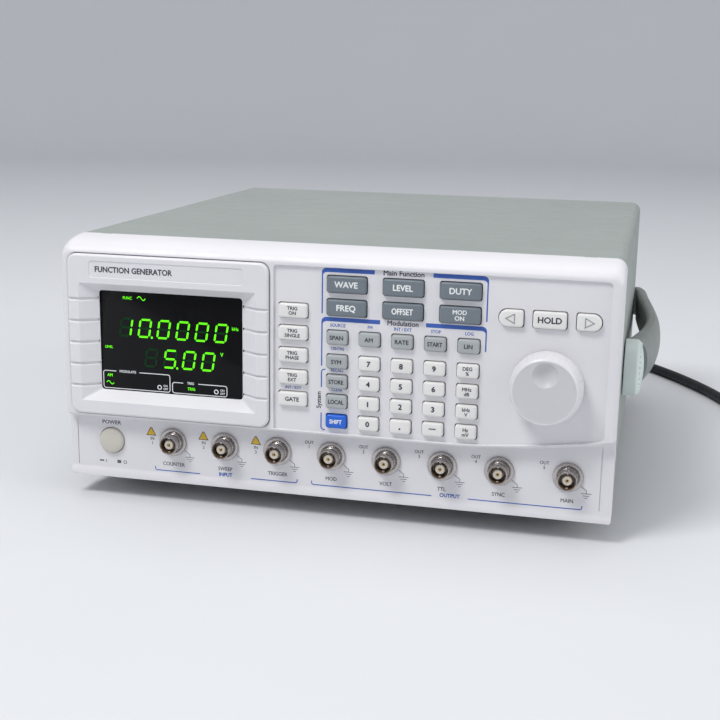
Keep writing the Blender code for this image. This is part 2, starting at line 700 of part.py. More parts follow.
def make_connector():
    """Moulded appliance connector in the inlet, with its tapered strain relief."""
    x, z = INLET
    face = COVER_D - 0.6 - SHEET + 3.0 + GAP
    nose = rounded_rect(x - 12.0, x + 12.0, z - 8.0, z + 8.0, 2.0, 1)
    body = rounded_rect(x - 14.0, x + 14.0, z - 10.5, z + 10.5, 3.0, 1)
    waist = rounded_rect(x - 10.0, x + 10.0, z - 8.0, z + 8.0, 3.0, 1)
    neck = [(x + 5.2 * math.cos(a), z + 5.2 * math.sin(a)) for a in ring_angles(8)]
    tip = [(x + 4.2 * math.cos(a), z + 4.2 * math.sin(a)) for a in ring_angles(8)]
    steps = [(face - 14.6, nose), (face, nose), (face, body), (face + 22.0, body), (face + 31.0, waist)]
    steps += [(face + 33.0, neck), (345.0, tip)]
    return new_object("lead_connector", stepped(steps), "lead")


def ring_angles(count):
    """Angles for a ring that lines up with an eight-point rounded rectangle."""
    return [math.radians(-90 + 360 / count * (i + 0.5) - 360 / count / 2 + 22.5) for i in range(count)]


def make_coil():
    """Outer shape of the coiled rest of the lead."""
    inner, outer = COIL_R
    low, high = -FOOT_H, -FOOT_H + COIL_H
    bevel = 2.0
    profile = [(inner, high - bevel), (inner + bevel, high), (outer - bevel, high), (outer, high - bevel)]
    profile += [(outer, low + bevel), (outer - bevel, low), (inner + bevel, low), (inner, low + bevel)]
    return turned("lead_coil", "lead", profile + profile[:1], point(*COIL_CENTRE, 0), 32, "up")


def make_plug():
    """Moulded three-pin wall plug, lying beside the coil."""
    x, y = COIL_CENTRE[0] + 46.5, COIL_CENTRE[1] + 31.0
    z = -FOOT_H + 12.0
    wide = [(-12.0, 12.0, -12.0, 12.0), (-9.0, 9.0, -9.0, 9.0)]

    def ring(size, at_y):
        x0, x1, z0, z1 = size
        return (at_y, [(x + a, z + b) for a, b in rounded_rect(x0, x1, z0, z1, 3.0, 1)])

    neck = [(x + 5.0 * math.cos(a), z + 5.0 * math.sin(a)) for a in ring_angles(8)]
    tip = [(x + 4.2 * math.cos(a), z - 4.0 + 4.2 * math.sin(a)) for a in ring_angles(8)]
    steps = [(y, tip), (y + 22.0, neck), ring(wide[1], y + 24.0), ring(wide[0], y + 33.0), ring(wide[0], y + 50.0)]
    plug = new_object("wall_plug", stepped(steps), "lead")
    for side in (-6.35, 6.35):
        blade = ((x + side - 0.75, x + side + 0.75), (y + 49.0, y + 66.0), (z - 1.0, z + 5.3))
        combine(plug, box(f"add_blade_{'left' if side < 0 else 'right'}", None, *blade), "UNION")
    earth = rod("add_earth_pin", None, 2.4, point(x, y, z - 5.5), -68.0, -49.0, 8)
    return combine(plug, earth, "UNION")


make_bezel()
make_surround()
make_window()
make_front_board()
for key in key_list():
    make_key(*key)
make_knob()
make_power_button()
make_jacks()
make_cover()
make_chassis()
make_main_board()
make_feet()
make_handle()
make_hubs()
make_connector()
make_lead()
make_coil()
make_plug()
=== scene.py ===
"""Looks of the bench function generator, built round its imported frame.

Shapes are drawn in the case's own millimetres: x across from the middle, y back from the seam between the
moulded front and the cover, z up from the front's bottom edge. at() turns them into the frame's metres.
"""

import json
import math

import bmesh
import bpy
from mathutils import Matrix, Vector


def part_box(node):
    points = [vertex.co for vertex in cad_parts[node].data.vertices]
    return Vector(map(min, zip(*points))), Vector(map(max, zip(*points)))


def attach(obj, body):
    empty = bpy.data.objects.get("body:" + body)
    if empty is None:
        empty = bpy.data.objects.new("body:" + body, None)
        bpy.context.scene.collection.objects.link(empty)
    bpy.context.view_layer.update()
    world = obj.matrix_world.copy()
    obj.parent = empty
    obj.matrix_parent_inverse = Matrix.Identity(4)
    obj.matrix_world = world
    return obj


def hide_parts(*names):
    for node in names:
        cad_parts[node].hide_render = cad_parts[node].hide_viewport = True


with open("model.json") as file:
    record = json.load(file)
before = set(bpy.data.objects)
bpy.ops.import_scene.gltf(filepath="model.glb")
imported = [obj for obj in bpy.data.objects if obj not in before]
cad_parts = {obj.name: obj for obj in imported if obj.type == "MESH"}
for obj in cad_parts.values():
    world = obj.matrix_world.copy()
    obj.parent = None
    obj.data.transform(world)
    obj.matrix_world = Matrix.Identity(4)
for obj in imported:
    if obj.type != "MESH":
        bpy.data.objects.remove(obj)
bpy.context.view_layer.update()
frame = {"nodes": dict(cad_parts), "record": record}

MM = 0.001
FRONT_LOW, FRONT_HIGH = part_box("front_bezel")
SEAM_Y = FRONT_HIGH.y
BASE_Z = FRONT_LOW.z
FOOT_H = BASE_Z / MM
SLOTS = {part["node"]: part["material_slot"] for part in frame["record"]["subparts"]}


def at(x, y, z):
    """A place in the case's millimetres as a point of the frame."""
    return Vector((x * MM, SEAM_Y + y * MM, BASE_Z + z * MM))


def span(node):
    """A CAD node's box in the case's millimetres, as (low, high) for x, y and z."""
    shift = Vector((0, SEAM_Y, BASE_Z))
    low, high = ((corner - shift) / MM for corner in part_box(node))
    return [(low[i], high[i]) for i in range(3)]


def centre(node):
    """The middle of a CAD node's box as (x, z), in the case's millimetres."""
    (x0, x1), _, (z0, z1) = span(node)
    return (x0 + x1) / 2, (z0 + z1) / 2


# ---------------------------------------------------------------- camera

CAMERA_AT = (0.15752, -0.74944, 0.22752)
CAMERA_YAW = 0.2337
CAMERA_PITCH = -0.2275
CAMERA_ROLL = 0.0170
CAMERA_LENS = 62.03


def make_camera():
    """The photograph's viewpoint: to the right of the middle, a little above the top of the case."""
    forward = Vector((
        -math.sin(CAMERA_YAW) * math.cos(CAMERA_PITCH),
        math.cos(CAMERA_YAW) * math.cos(CAMERA_PITCH),
        math.sin(CAMERA_PITCH),
    ))
    level = Vector((math.cos(CAMERA_YAW), math.sin(CAMERA_YAW), 0.0))
    upright = level.cross(forward)
    right = level * math.cos(CAMERA_ROLL) + upright * math.sin(CAMERA_ROLL)
    up = upright * math.cos(CAMERA_ROLL) - level * math.sin(CAMERA_ROLL)
    turn = Matrix((right, up, -forward)).transposed().to_4x4()
    data = bpy.data.cameras.new("camera")
    data.lens = CAMERA_LENS
    data.sensor_width = 36.0
    data.clip_start = 0.01
    data.clip_end = 50.0
    camera = bpy.data.objects.new("camera", data)
    camera.matrix_world = Matrix.Translation(CAMERA_AT) @ turn
    bpy.context.scene.collection.objects.link(camera)
    bpy.context.scene.camera = camera


# ---------------------------------------------------------------- materials


def noise(tree, coords, scale, detail=2.0, stretch=None):
    """A noise texture in the piece's own coordinates, stretched along an axis if asked."""
    made = tree.nodes.new("ShaderNodeTexNoise")
    made.inputs["Scale"].default_value = scale
    made.inputs["Detail"].default_value = detail
    source = coords.outputs["Object"]
    if stretch:
        mapping = tree.nodes.new("ShaderNodeMapping")
        mapping.inputs["Scale"].default_value = stretch
        tree.links.new(source, mapping.inputs["Vector"])
        source = mapping.outputs["Vector"]
    tree.links.new(source, made.inputs["Vector"])
    return made.outputs["Fac"]


def remap(tree, value, low, high, start=0.3, end=0.7):
    made = tree.nodes.new("ShaderNodeMapRange")
    made.inputs["From Min"].default_value = start
    made.inputs["From Max"].default_value = end
    made.inputs["To Min"].default_value = low
    made.inputs["To Max"].default_value = high
    tree.links.new(value, made.inputs["Value"])
    return made.outputs["Result"]


def blend_colours(tree, factor, first, second):
    made = tree.nodes.new("ShaderNodeMix")
    made.data_type = "RGBA"
    made.inputs["A"].default_value = (*first, 1.0)
    made.inputs["B"].default_value = (*second, 1.0)
    tree.links.new(factor, made.inputs["Factor"])
    return made.outputs["Result"]


def shaded(colour, amount):
    return tuple(min(1.0, channel * amount) for channel in colour)


def surface(name, colour, roughness, metallic=0.0, tone=0.05, patch=14.0, grain=1800.0, depth=0.00004,
            gloss=0.07, coat=0.0, stretch=None, speck=0.0, shine=0.5):
    """A moulded, painted or plated finish: its colour drifts in broad patches and in fine specks, its gloss
    varies with handling, and a fine grain stands up from it."""
    made = bpy.data.materials.new(name)
    made.use_nodes = True
    tree = made.node_tree
    shader = tree.nodes["Principled BSDF"]
    coords = tree.nodes.new("ShaderNodeTexCoord")
    broad = noise(tree, coords, patch, 3.0)
    fine = noise(tree, coords, grain, 2.0, stretch)
    drift = remap(tree, broad, 0.0, 1.0)
    mixed = blend_colours(tree, drift, shaded(colour, 1 - tone), shaded(colour, 1 + tone))
    if speck:
        dots = remap(tree, noise(tree, coords, grain * 0.6, 1.0, stretch), 0.0, speck, 0.45, 0.7)
        over = blend_colours(tree, dots, (0, 0, 0), shaded(colour, 0.55))
        tree.links.new(mixed, over.node.inputs["A"])
        mixed = over
    tree.links.new(mixed, shader.inputs["Base Color"])
    worn = noise(tree, coords, patch * 5.0, 4.0)
    tree.links.new(remap(tree, worn, roughness - gloss, roughness + gloss), shader.inputs["Roughness"])
    bump = tree.nodes.new("ShaderNodeBump")
    bump.inputs["Strength"].default_value = 1.0
    bump.inputs["Distance"].default_value = depth
    tree.links.new(fine, bump.inputs["Height"])
    tree.links.new(bump.outputs["Normal"], shader.inputs["Normal"])
    shader.inputs["Metallic"].default_value = metallic
    shader.inputs["Coat Weight"].default_value = coat
    shader.inputs["Specular IOR Level"].default_value = shine
    shader.inputs["Coat Roughness"].default_value = 0.08
    return made


def glowing(name, colour, strength, core):
    """A glowing display segment: bright in the middle of its grain, on a dark phosphor. The unlit bars use
    it too, for a faint painted glow.
    """
    made = surface(name, core, 0.4, tone=0.2, depth=0.000001, shine=0.1)
    tree = made.node_tree
    shader = tree.nodes["Principled BSDF"]
    coords = tree.nodes.new("ShaderNodeTexCoord")
    factor = remap(tree, noise(tree, coords, 900.0), 0.0, 1.0)
    lit = blend_colours(tree, factor, shaded(colour, 0.8), colour)
    tree.links.new(lit, shader.inputs["Emission Color"])
    shader.inputs["Emission Strength"].default_value = strength
    return made


def circuit_board(name):
    """Green solder mask with paler copper runs under it."""
    made = surface(name, (0.012, 0.11, 0.045), 0.35, tone=0.15, coat=0.4)
    tree = made.node_tree
    shader = tree.nodes["Principled BSDF"]
    coords = tree.nodes.new("ShaderNodeTexCoord")
    runs = tree.nodes.new("ShaderNodeTexBrick")
    runs.inputs["Scale"].default_value = 180.0
    runs.inputs["Mortar Size"].default_value = 0.06
    runs.inputs["Color1"].default_value = (0.012, 0.11, 0.045, 1)
    runs.inputs["Color2"].default_value = (0.010, 0.09, 0.04, 1)
    runs.inputs["Mortar"].default_value = (0.05, 0.24, 0.08, 1)
    tree.links.new(coords.outputs["Object"], runs.inputs["Vector"])
    tree.links.new(runs.outputs["Color"], shader.inputs["Base Color"])
    return made


MOULDED = {"patch": 30, "depth": 0.00001}
LOOK = {
    "bezel": surface("bezel_plastic", (0.755, 0.74, 0.765), 0.42, tone=0.025, grain=2600, depth=0.00002),
    "key_white": surface("key_white_plastic", (0.80, 0.785, 0.765), 0.36, tone=0.02, **MOULDED),
    "knob": surface("knob_plastic", (0.72, 0.71, 0.73), 0.38, tone=0.02, **MOULDED),
    # The knob's face in a darker grey than its rim: painted shade, for light falling unevenly on one
    # plastic.
    "knob_face_painted_shade": surface("knob_plastic_painted_shade", (0.60, 0.59, 0.61), 0.42, tone=0.02, **MOULDED),
    "key_grey": surface("key_grey_plastic", (0.40, 0.425, 0.43), 0.38, tone=0.04, **MOULDED),
    "key_dark": surface("key_dark_plastic", (0.16, 0.19, 0.215), 0.36, tone=0.06, **MOULDED),
    "key_blue": surface("key_blue_plastic", (0.008, 0.12, 0.62), 0.34, tone=0.08, **MOULDED),
    "window": surface("display_filter", (0.004, 0.004, 0.005), 0.12, gloss=0.03, depth=0.000001, shine=0.16),
    "lit": glowing("display_lit", (0.15, 1.0, 0.004), 1.2, (0.02, 0.2, 0.01)),
    # The unlit bars glow faintly: a painted glow, though they are not lit.
    "dim_painted_glow": glowing("display_unlit_painted_glow", (0.0, 0.30, 0.035), 0.07, (0.002, 0.018, 0.005)),
    "white_print": surface("print_white", (0.82, 0.84, 0.84), 0.45, tone=0.05, patch=90),
    "dark_print": surface("print_dark", (0.035, 0.035, 0.055), 0.5, tone=0.1, patch=90),
    "grey_print": surface("print_grey", (0.10, 0.105, 0.13), 0.5, tone=0.1, patch=90),
    "blue_print": surface("print_blue", (0.035, 0.11, 0.44), 0.5, tone=0.08, patch=90),
    "yellow_print": surface("print_yellow", (0.72, 0.46, 0.02), 0.5, tone=0.08, patch=200),
    "board": circuit_board("circuit_board"),
    "jack": surface("nickel_plate", (0.47, 0.44, 0.43), 0.24, 1.0, tone=0.10, patch=160, gloss=0.08,
                    depth=0.000006, stretch=(1, 0.2, 1)),
    "contact": surface("gold_contact", (0.72, 0.48, 0.16), 0.3, 1.0, tone=0.08, patch=200),
    "liner": surface("socket_bore", (0.30, 0.21, 0.13), 0.34, 0.7, tone=0.12, patch=200),
    "insulator": surface("socket_insulator", (0.60, 0.55, 0.47), 0.5, tone=0.06, patch=120),
    "arrow": surface("key_arrow", (0.33, 0.335, 0.345), 0.42, tone=0.04, patch=60),
    # Near-black painted shade: on the key stems and flanges behind the panel, and at the bottom of each
    # socket's bore.
    "painted_shade_black": surface("painted_shade_hole", (0.012, 0.010, 0.010), 0.8, tone=0.2),
    "power_button": surface("button_plastic", (0.60, 0.575, 0.50), 0.34, tone=0.04, patch=60, depth=0.00001),
    "cover": surface("cover_paint", (0.315, 0.345, 0.325), 0.52, tone=0.035, grain=1100, depth=0.00012,
                     speck=0.10),
    "chassis": surface("plated_steel", (0.55, 0.56, 0.54), 0.36, 1.0, tone=0.06, patch=25, gloss=0.1,
                       grain=700, stretch=(0.04, 1, 1), depth=0.00001),
    "handle": surface("handle_plastic", (0.24, 0.265, 0.245), 0.48, tone=0.05, grain=1300, depth=0.00008),
    "hub": surface("hub_plastic", (0.68, 0.755, 0.73), 0.42, tone=0.035, patch=40, depth=0.00003),
    "rubber": surface("foot_rubber", (0.018, 0.018, 0.019), 0.78, tone=0.25, patch=60, grain=900,
                      depth=0.0001),
    "lead": surface("lead_sheath", (0.009, 0.009, 0.011), 0.46, tone=0.2, patch=35, grain=1500,
                    depth=0.00003, shine=0.3),
    "brass": surface("brass_pin", (0.62, 0.44, 0.17), 0.26, 1.0, tone=0.07, patch=120, gloss=0.08),
    "screw": surface("screw_head", (0.50, 0.50, 0.49), 0.3, 1.0, tone=0.08, patch=200),
    "core": surface("iron_core", (0.16, 0.15, 0.15), 0.5, 0.8, tone=0.1, grain=900, stretch=(0.1, 1, 1)),
    "tape": surface("winding_tape", (0.55, 0.40, 0.08), 0.4, tone=0.08),
    "black_plastic": surface("black_plastic", (0.02, 0.02, 0.022), 0.42, tone=0.15, grain=1500,
                             depth=0.00005),
    "heat_sink": surface("heat_sink_metal", (0.42, 0.43, 0.44), 0.35, 1.0, tone=0.06, stretch=(1, 0.1, 1)),
    "floor": surface("studio_floor", (0.70, 0.71, 0.73), 0.7, tone=0.01, patch=2, grain=120, depth=0.00003),
}


# ---------------------------------------------------------------- shaping tools


def arc(centre_x, centre_z, radius, start, end, steps):
    """Points on an arc from start to end degrees, both ends included."""
    angles = [math.radians(start + (end - start) * i / steps) for i in range(steps + 1)]
    return [(centre_x + radius * math.cos(a), centre_z + radius * math.sin(a)) for a in angles]


def rounded_rect(x0, x1, z0, z1, radius, steps=6, top_radius=None):
    """Outline of a rounded rectangle, which may have its own radius for the two upper corners."""
    top = radius if top_radius is None else top_radius
    corners = ((x1, z0, -90, -1, 1, radius), (x1, z1, 0, -1, -1, top))
    corners += ((x0, z1, 90, 1, -1, top), (x0, z0, 180, 1, 1, radius))
    outline = []
    for x, z, start, side_x, side_z, r in corners:
        outline += arc(x + side_x * r, z + side_z * r, r, start, start + 90, steps)
    return outline


def grown(outline, amount):
    """The outline moved outwards by about amount, from its own middle."""
    xs = [p[0] for p in outline]
    zs = [p[1] for p in outline]
    mid_x, mid_z = (min(xs) + max(xs)) / 2, (min(zs) + max(zs)) / 2
    scale_x = 1 + 2 * amount / (max(xs) - min(xs))
    scale_z = 1 + 2 * amount / (max(zs) - min(zs))
    return [(mid_x + (x - mid_x) * scale_x, mid_z + (z - mid_z) * scale_z) for x, z in outline]


def loft(bm, rings, index=0):
    """Adds a closed solid through rings of points that have the same number of points each."""
    rows = [[bm.verts.new(p) for p in ring] for ring in rings]
    count = len(rows[0])
    faces = []
    for near, far in zip(rows, rows[1:]):
        for i in range(count):
            j = (i + 1) % count
            faces.append(bm.faces.new((near[i], near[j], far[j], far[i])))
    faces.append(bm.faces.new(rows[0]))
    faces.append(bm.faces.new(rows[-1]))
    for face in faces:
        face.material_index = index
    bmesh.ops.recalc_face_normals(bm, faces=faces)
    return faces


def stepped(bm, steps, index=0):
    """Adds a solid through (y, outline) steps, from the front to the back."""
    return loft(bm, [[at(x, y, z) for x, z in outline] for y, outline in steps], index)


def plate(bm, outline, y, thick, index=0):
    """Adds a thin flat plate whose front is at y."""
    return stepped(bm, [(y, outline), (y + thick, outline)], index)


def block(bm, x, y, z, index=0, edge=0.0):
    """Adds a box over three (low, high) ranges, with rounded edges if asked."""
    low, high = at(x[0], y[0], z[0]), at(x[1], y[1], z[1])
    move = Matrix.Translation((low + high) / 2) @ Matrix.Diagonal((*(high - low), 1.0))
    made = bmesh.ops.create_cube(bm, size=1.0, matrix=move)
    faces = {face for vert in made["verts"] for face in vert.link_faces}
    for face in faces:
        face.material_index = index
    if edge:
        edges = {e for face in faces for e in face.edges}
        bmesh.ops.bevel(bm, geom=list(edges), offset=edge * MM, segments=3, profile=0.5, affect="EDGES")


def stripe(bm, points, width, y, thick, index=0):
    """Adds a flat ribbon of even width along a line of (x, z) points."""
    points = [Vector(p) for p in points]
    left, right = [], []
    for i, p in enumerate(points):
        before = points[max(i - 1, 0)]
        after = points[min(i + 1, len(points) - 1)]
        along = (after - before).normalized()
        side = Vector((-along.y, along.x)) * (width / 2)
        if 0 < i < len(points) - 1:
            half_turn = (p - before).angle_signed(after - p, 0.0) / 2
            side /= max(0.5, math.cos(half_turn))
        left.append(tuple(p + side))
        right.append(tuple(p - side))
    return plate(bm, left + right[::-1], y, thick, index)


def turned(bm, profile, centre, steps, towards="front", index=0, ripple=None):
    """Adds a turned solid: (radius, height) pairs from its tip round to its back, about an axis through
    centre. ripple(radius, height, angle) may change the radius, for flutes and knurls."""
    axes = {
        "front": (Vector((1, 0, 0)), Vector((0, 0, 1)), Vector((0, -1, 0))),
        "back": (Vector((-1, 0, 0)), Vector((0, 0, 1)), Vector((0, 1, 0))),
        "right": (Vector((0, 1, 0)), Vector((0, 0, 1)), Vector((1, 0, 0))),
        "left": (Vector((0, -1, 0)), Vector((0, 0, 1)), Vector((-1, 0, 0))),
        "up": (Vector((1, 0, 0)), Vector((0, 1, 0)), Vector((0, 0, 1))),
    }
    across, upward, along = axes[towards]
    rows = []
    for radius, height in profile:
        if radius == 0:
            rows.append([bm.verts.new(centre + along * height * MM)])
            continue
        row = []
        for i in range(steps):
            angle = 2 * math.pi * i / steps
            r = ripple(radius, height, angle) if ripple else radius
            offset = across * math.cos(angle) + upward * math.sin(angle)
            row.append(bm.verts.new(centre + (offset * r + along * height) * MM))
        rows.append(row)
    faces = []
    for near, far in zip(rows, rows[1:]):
        for i in range(steps):
            j = (i + 1) % steps
            ring = [near[i % len(near)], near[j % len(near)], far[j % len(far)], far[i % len(far)]]
            corners = list(dict.fromkeys(ring))
            if len(corners) > 2:
                faces.append(bm.faces.new(corners))
    for face in faces:
        face.material_index = index
    bmesh.ops.recalc_face_normals(bm, faces=faces)
    return faces


# Height of the built-in typeface's capitals as a share of its size.
CAPITAL_SHARE = 0.70


def ring_profile(inner, outer, low, high):
    """Profile of a washer, for turned(): closed on itself."""
    return [(inner, high), (outer, high), (outer, low), (inner, low), (inner, high)]


def rod(radius, low, high):
    """Profile of a plain cylinder, for turned()."""
    return [(0, high), (radius, high), (radius, low), (0, low)]


def prism(outline, *ys):
    """Steps that keep the same outline at every y, for stepped()."""
    return [(y, outline) for y in ys]


def lettering(bm, text, x, z, y, height, index=0, weight=0.03, turn=0.0, wide=0.92, thick=0.04):
    """Adds raised lettering on a plane that faces the front, height being that of its capitals. Its strokes
    are made heavier by weight, a share of the height, by printing it again a little to each side."""
    font = bpy.data.curves.new("lettering", "FONT")
    font.body = text
    font.size = 1.0
    font.align_x = "CENTER"
    font.align_y = "CENTER"
    font.resolution_u = 3
    carrier = bpy.data.objects.new("lettering", font)
    bpy.context.scene.collection.objects.link(carrier)
    bpy.context.view_layer.update()
    mesh = bpy.data.meshes.new_from_object(carrier.evaluated_get(bpy.context.evaluated_depsgraph_get()))
    size = height / CAPITAL_SHARE * MM
    upright = Matrix.Rotation(math.pi / 2, 4, "X") @ Matrix.Rotation(math.radians(turn), 4, "Z")
    upright = upright @ Matrix.Diagonal((size * wide, size, size, 1.0))
    shift = weight * height
    prints = ((-shift, 0.0), (shift, 0.0), (0.0, shift), (0.0, -shift))
    for i, (across, up) in enumerate(prints):
        first = len(bm.faces)
        bm.from_mesh(mesh)
        bm.faces.ensure_lookup_table()
        fresh = bm.faces[first:]
        move = Matrix.Translation(at(x + across, y + thick * i / 8, z + up)) @ upright
        bmesh.ops.transform(bm, matrix=move, verts=list({vert for face in fresh for vert in face.verts}))
        for face in fresh:
            face.material_index = index
            face.smooth = False
    bpy.data.objects.remove(carrier)
    bpy.data.curves.remove(font)
    bpy.data.meshes.remove(mesh)


def to_object(name, bm, looks, smooth=40.0):
    mesh = bpy.data.meshes.new(name)
    bm.to_mesh(mesh)
    bm.free()
    for look in looks:
        mesh.materials.append(LOOK[look])
    if smooth:
        mesh.shade_smooth()
        mesh.set_sharp_from_angle(angle=math.radians(smooth))
    obj = bpy.data.objects.new(name, mesh)
    bpy.context.scene.collection.objects.link(obj)
    return obj


def apply_modifiers(obj):
    graph = bpy.context.evaluated_depsgraph_get()
    mesh = bpy.data.meshes.new_from_object(obj.evaluated_get(graph))
    obj.modifiers.clear()
    obj.data = mesh
    return obj


def cut(obj, bm, operation="DIFFERENCE"):
    """Cuts the shapes in bm out of the piece, or joins them to it."""
    tool = to_object("tool", bm, [], 0)
    modifier = obj.modifiers.new("Cut", "BOOLEAN")
    modifier.operation = operation
    modifier.object = tool
    apply_modifiers(obj)
    bpy.data.objects.remove(tool)
    return obj


def cut_blocks(obj, boxes, operation="DIFFERENCE"):
    """The same with boxes of three (low, high) ranges each."""
    bm = bmesh.new()
    for box in boxes:
        block(bm, *box)
    return cut(obj, bm, operation)


def cut_steps(obj, shapes, operation="DIFFERENCE"):
    """The same with solids through (y, outline) steps."""
    bm = bmesh.new()
    for steps in shapes:
        stepped(bm, steps)
    return cut(obj, bm, operation)


def cut_rod(obj, radius, low, high, middle, steps, towards, operation="DIFFERENCE"):
    """The same with a plain cylinder."""
    bm = bmesh.new()
    turned(bm, rod(radius, low, high), middle, steps, towards)
    return cut(obj, bm, operation)


def from_steps(name, shapes, looks):
    """A new piece made of solids through (y, outline) steps."""
    bm = bmesh.new()
    for steps in shapes:
        stepped(bm, steps)
    return to_object(name, bm, looks)


def soften(obj, width, segments=2, angle=32.0):
    """Rounds every sharp edge of a piece a little, as moulding or deburring does."""
    bevel = obj.modifiers.new("Soften", "BEVEL")
    bevel.width = width * MM
    bevel.segments = segments
    bevel.limit_method = "ANGLE"
    bevel.angle_limit = math.radians(angle)
    bevel.use_clamp_overlap = True
    apply_modifiers(obj)
    obj.data.shade_smooth()
    obj.data.set_sharp_from_angle(angle=math.radians(50))
    flatten = obj.modifiers.new("Flat faces", "WEIGHTED_NORMAL")
    flatten.keep_sharp = True
    flatten.weight = 80
    return obj


def place(obj, body, slot, *nodes):
    """Hangs a finished piece on its body, and hides the CAD nodes that it stands for."""
    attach(obj, body)
    if nodes:
        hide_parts(*nodes)
    return obj


# ---------------------------------------------------------------- mains lead

LEAD_D = 7.0
LEAD_ROUTE = [
    (95.0, 345.3, 28.0),
    (95.2, 356.0, 27.2),
    (98.0, 371.0, 22.5),
    (106.0, 386.0, 13.5),
    (119.0, 395.2, 3.5),
    (134.0, 396.0, -4.5),
    (148.5, 389.5, -7.8),
    (162.1, 374.3, -7.8),
    (172.2, 360.6, -7.8),
    (182.4, 345.4, -7.8),
    (194.0, 325.5, -7.8),
    (204.5, 305.0, -7.8),
    (213.0, 284.5, -7.8),
    (217.0, 276.5, -7.8),
]
COIL_CENTRE = (272.0, 262.0)
COIL_OUTER = 46.0
COIL_STEPS = 16
ENTRY_ANGLE = 202.5
PLUG_AT = (COIL_CENTRE[0] + 46.5, COIL_CENTRE[1] + 31.0)


def spline(places, count_of):
    """A smooth curve through the places, with count_of(b, c) points from each place b on to the next."""
    places = [Vector(p) for p in places]
    ends = [2 * places[0] - places[1]] + places + [2 * places[-1] - places[-2]]
    path = []
    for a, b, c, d in zip(ends, ends[1:], ends[2:], ends[3:]):
        count = count_of(b, c)
        for i in range(count):
            t = i / count
            bend = (2 * a - 5 * b + 4 * c - d) * t * t + (3 * b - a - 3 * c + d) * t**3
            path.append((2 * b + (c - a) * t + bend) / 2)
    return path + [places[-1]]


def smooth_path(places, step):
    """A smooth curve with a point about every step millimetres, kept from sinking into the floor."""
    path = spline(places, lambda b, c: max(1, round((c - b).length / step)))
    floor = -FOOT_H + LEAD_D / 2 + 0.05
    return [Vector((p.x, p.y, max(p.z, floor))) for p in path]


def coil_path():
    """The coiled rest of the lead: a flat spiral inwards, half a turn up, and a second spiral out on top of
    the first, a diameter apart everywhere."""
    floor = -FOOT_H + LEAD_D / 2
    turns_in, turns_up, turns_out = 2.5, 0.5, 2.4375
    inner = COIL_OUTER - LEAD_D * turns_in
    total = turns_in + turns_up + turns_out
    points = []
    for i in range(round(total * COIL_STEPS) + 1):
        turn = min(i / COIL_STEPS, total)
        angle = math.radians(ENTRY_ANGLE + 360 * turn)
        climb = min(1.0, max(0.0, (turn - turns_in) / turns_up))
        radius = COIL_OUTER - LEAD_D * turn if turn < turns_in else inner
        radius += LEAD_D * max(0.0, turn - turns_in - turns_up)
        lift = LEAD_D * climb * climb * (3 - 2 * climb)
        x = COIL_CENTRE[0] + radius * math.cos(angle)
        y = COIL_CENTRE[1] + radius * math.sin(angle)
        points.append((x, y, floor + lift))
    return points


def make_lead():
    """The lead in one length, from the connector's strain relief through its coil to the wall plug."""
    top = -FOOT_H + LEAD_D * 1.5
    tail = [(PLUG_AT[0] - 0.2, COIL_CENTRE[1] + 11.0, top - 0.4), (*PLUG_AT, -FOOT_H + 8.0)]
    path = smooth_path(LEAD_ROUTE + coil_path() + tail, 4.5)
    curve = bpy.data.curves.new("mains_lead_sheath", "CURVE")
    curve.dimensions = "3D"
    curve.bevel_depth = LEAD_D / 2 * MM
    curve.bevel_resolution = 4
    curve.use_fill_caps = True
    spline = curve.splines.new("POLY")
    spline.points.add(len(path) - 1)
    for spot, target in zip(path, spline.points):
        target.co = (*at(*spot), 1.0)
    spline.use_smooth = True
    curve.materials.append(LOOK["lead"])
    lead = bpy.data.objects.new("mains_lead_sheath", curve)
    bpy.context.scene.collection.objects.link(lead)
    place(lead, "case", "lead", "mains_lead", "lead_coil")
    return lead


def circle(x, z, radius, count):
    return [(x + radius * math.cos(2 * math.pi * i / count), z + radius * math.sin(2 * math.pi * i / count))
            for i in range(count)]


def rounded_square(x, z, half_x, half_z, power, count):
    """A squarish ring with count points, rounder as power comes down to 2."""
    ring = []
    for i in range(count):
        a = 2 * math.pi * i / count
        c, s = math.cos(a), math.sin(a)
        ring.append((
            x + half_x * math.copysign(abs(c) ** (2 / power), c),
            z + half_z * math.copysign(abs(s) ** (2 / power), s),
        ))
    return ring


def relief_steps(x, z, y0, y1, r0, r1, ribs, count):
    """A tapered strain relief with round ribs, as (y, outline) steps."""
    steps = []
    for i in range(ribs * 4 + 1):
        t = i / (ribs * 4)
        wave = (0.0, 0.55, 0.75, 0.55)[i % 4]
        radius = r0 + (r1 - r0) * t + wave
        steps.append((y0 + (y1 - y0) * t, circle(x, z, radius, count)))
    return steps


def make_connector():
    """Moulded appliance connector with finger ribs and a ribbed strain relief."""
    (x0, x1), (y0, y1), (z0, z1) = span("lead_connector")
    x, z = (x0 + x1) / 2, (z0 + z1) / 2
    count = 40
    face = y0 + 14.6
    bm = bmesh.new()
    nose = rounded_square(x, z, 11.9, 7.9, 9.0, count)
    stepped(bm, [(y0, grown(nose, -0.5)), (y0 + 0.5, nose), (face + 0.5, nose)])
    half_x, half_z = (x1 - x0) / 2, (z1 - z0) / 2
    steps = []
    shape = ((0.0, 0.955), (0.5, 0.99), (1.2, 1.0), (17.0, 1.0), (22.0, 0.97), (26.5, 0.86), (30.0, 0.70))
    for along, share in shape:
        outline = rounded_square(x, z, half_x * share, half_z * share, 6.0 - along / 10, count)
        steps.append((face + along, outline))
    steps += relief_steps(x, z, face + 32.0, y1, 5.0, 4.1, 6, count)
    stepped(bm, steps)
    connector = to_object("appliance_connector", bm, ["lead"])
    grips = []
    for side in (-1, 1):
        edge = x + side * half_x
        for i in range(5):
            y = face + 5.0 + 3.0 * i
            grips.append((sorted((edge - side * 0.7, edge + side * 2)), (y, y + 1.2), (z - 7, z + 7)))
    cut_blocks(connector, grips)
    connector.data.shade_smooth()
    connector.data.set_sharp_from_angle(angle=math.radians(45))
    return place(connector, "case", "lead", "lead_connector")


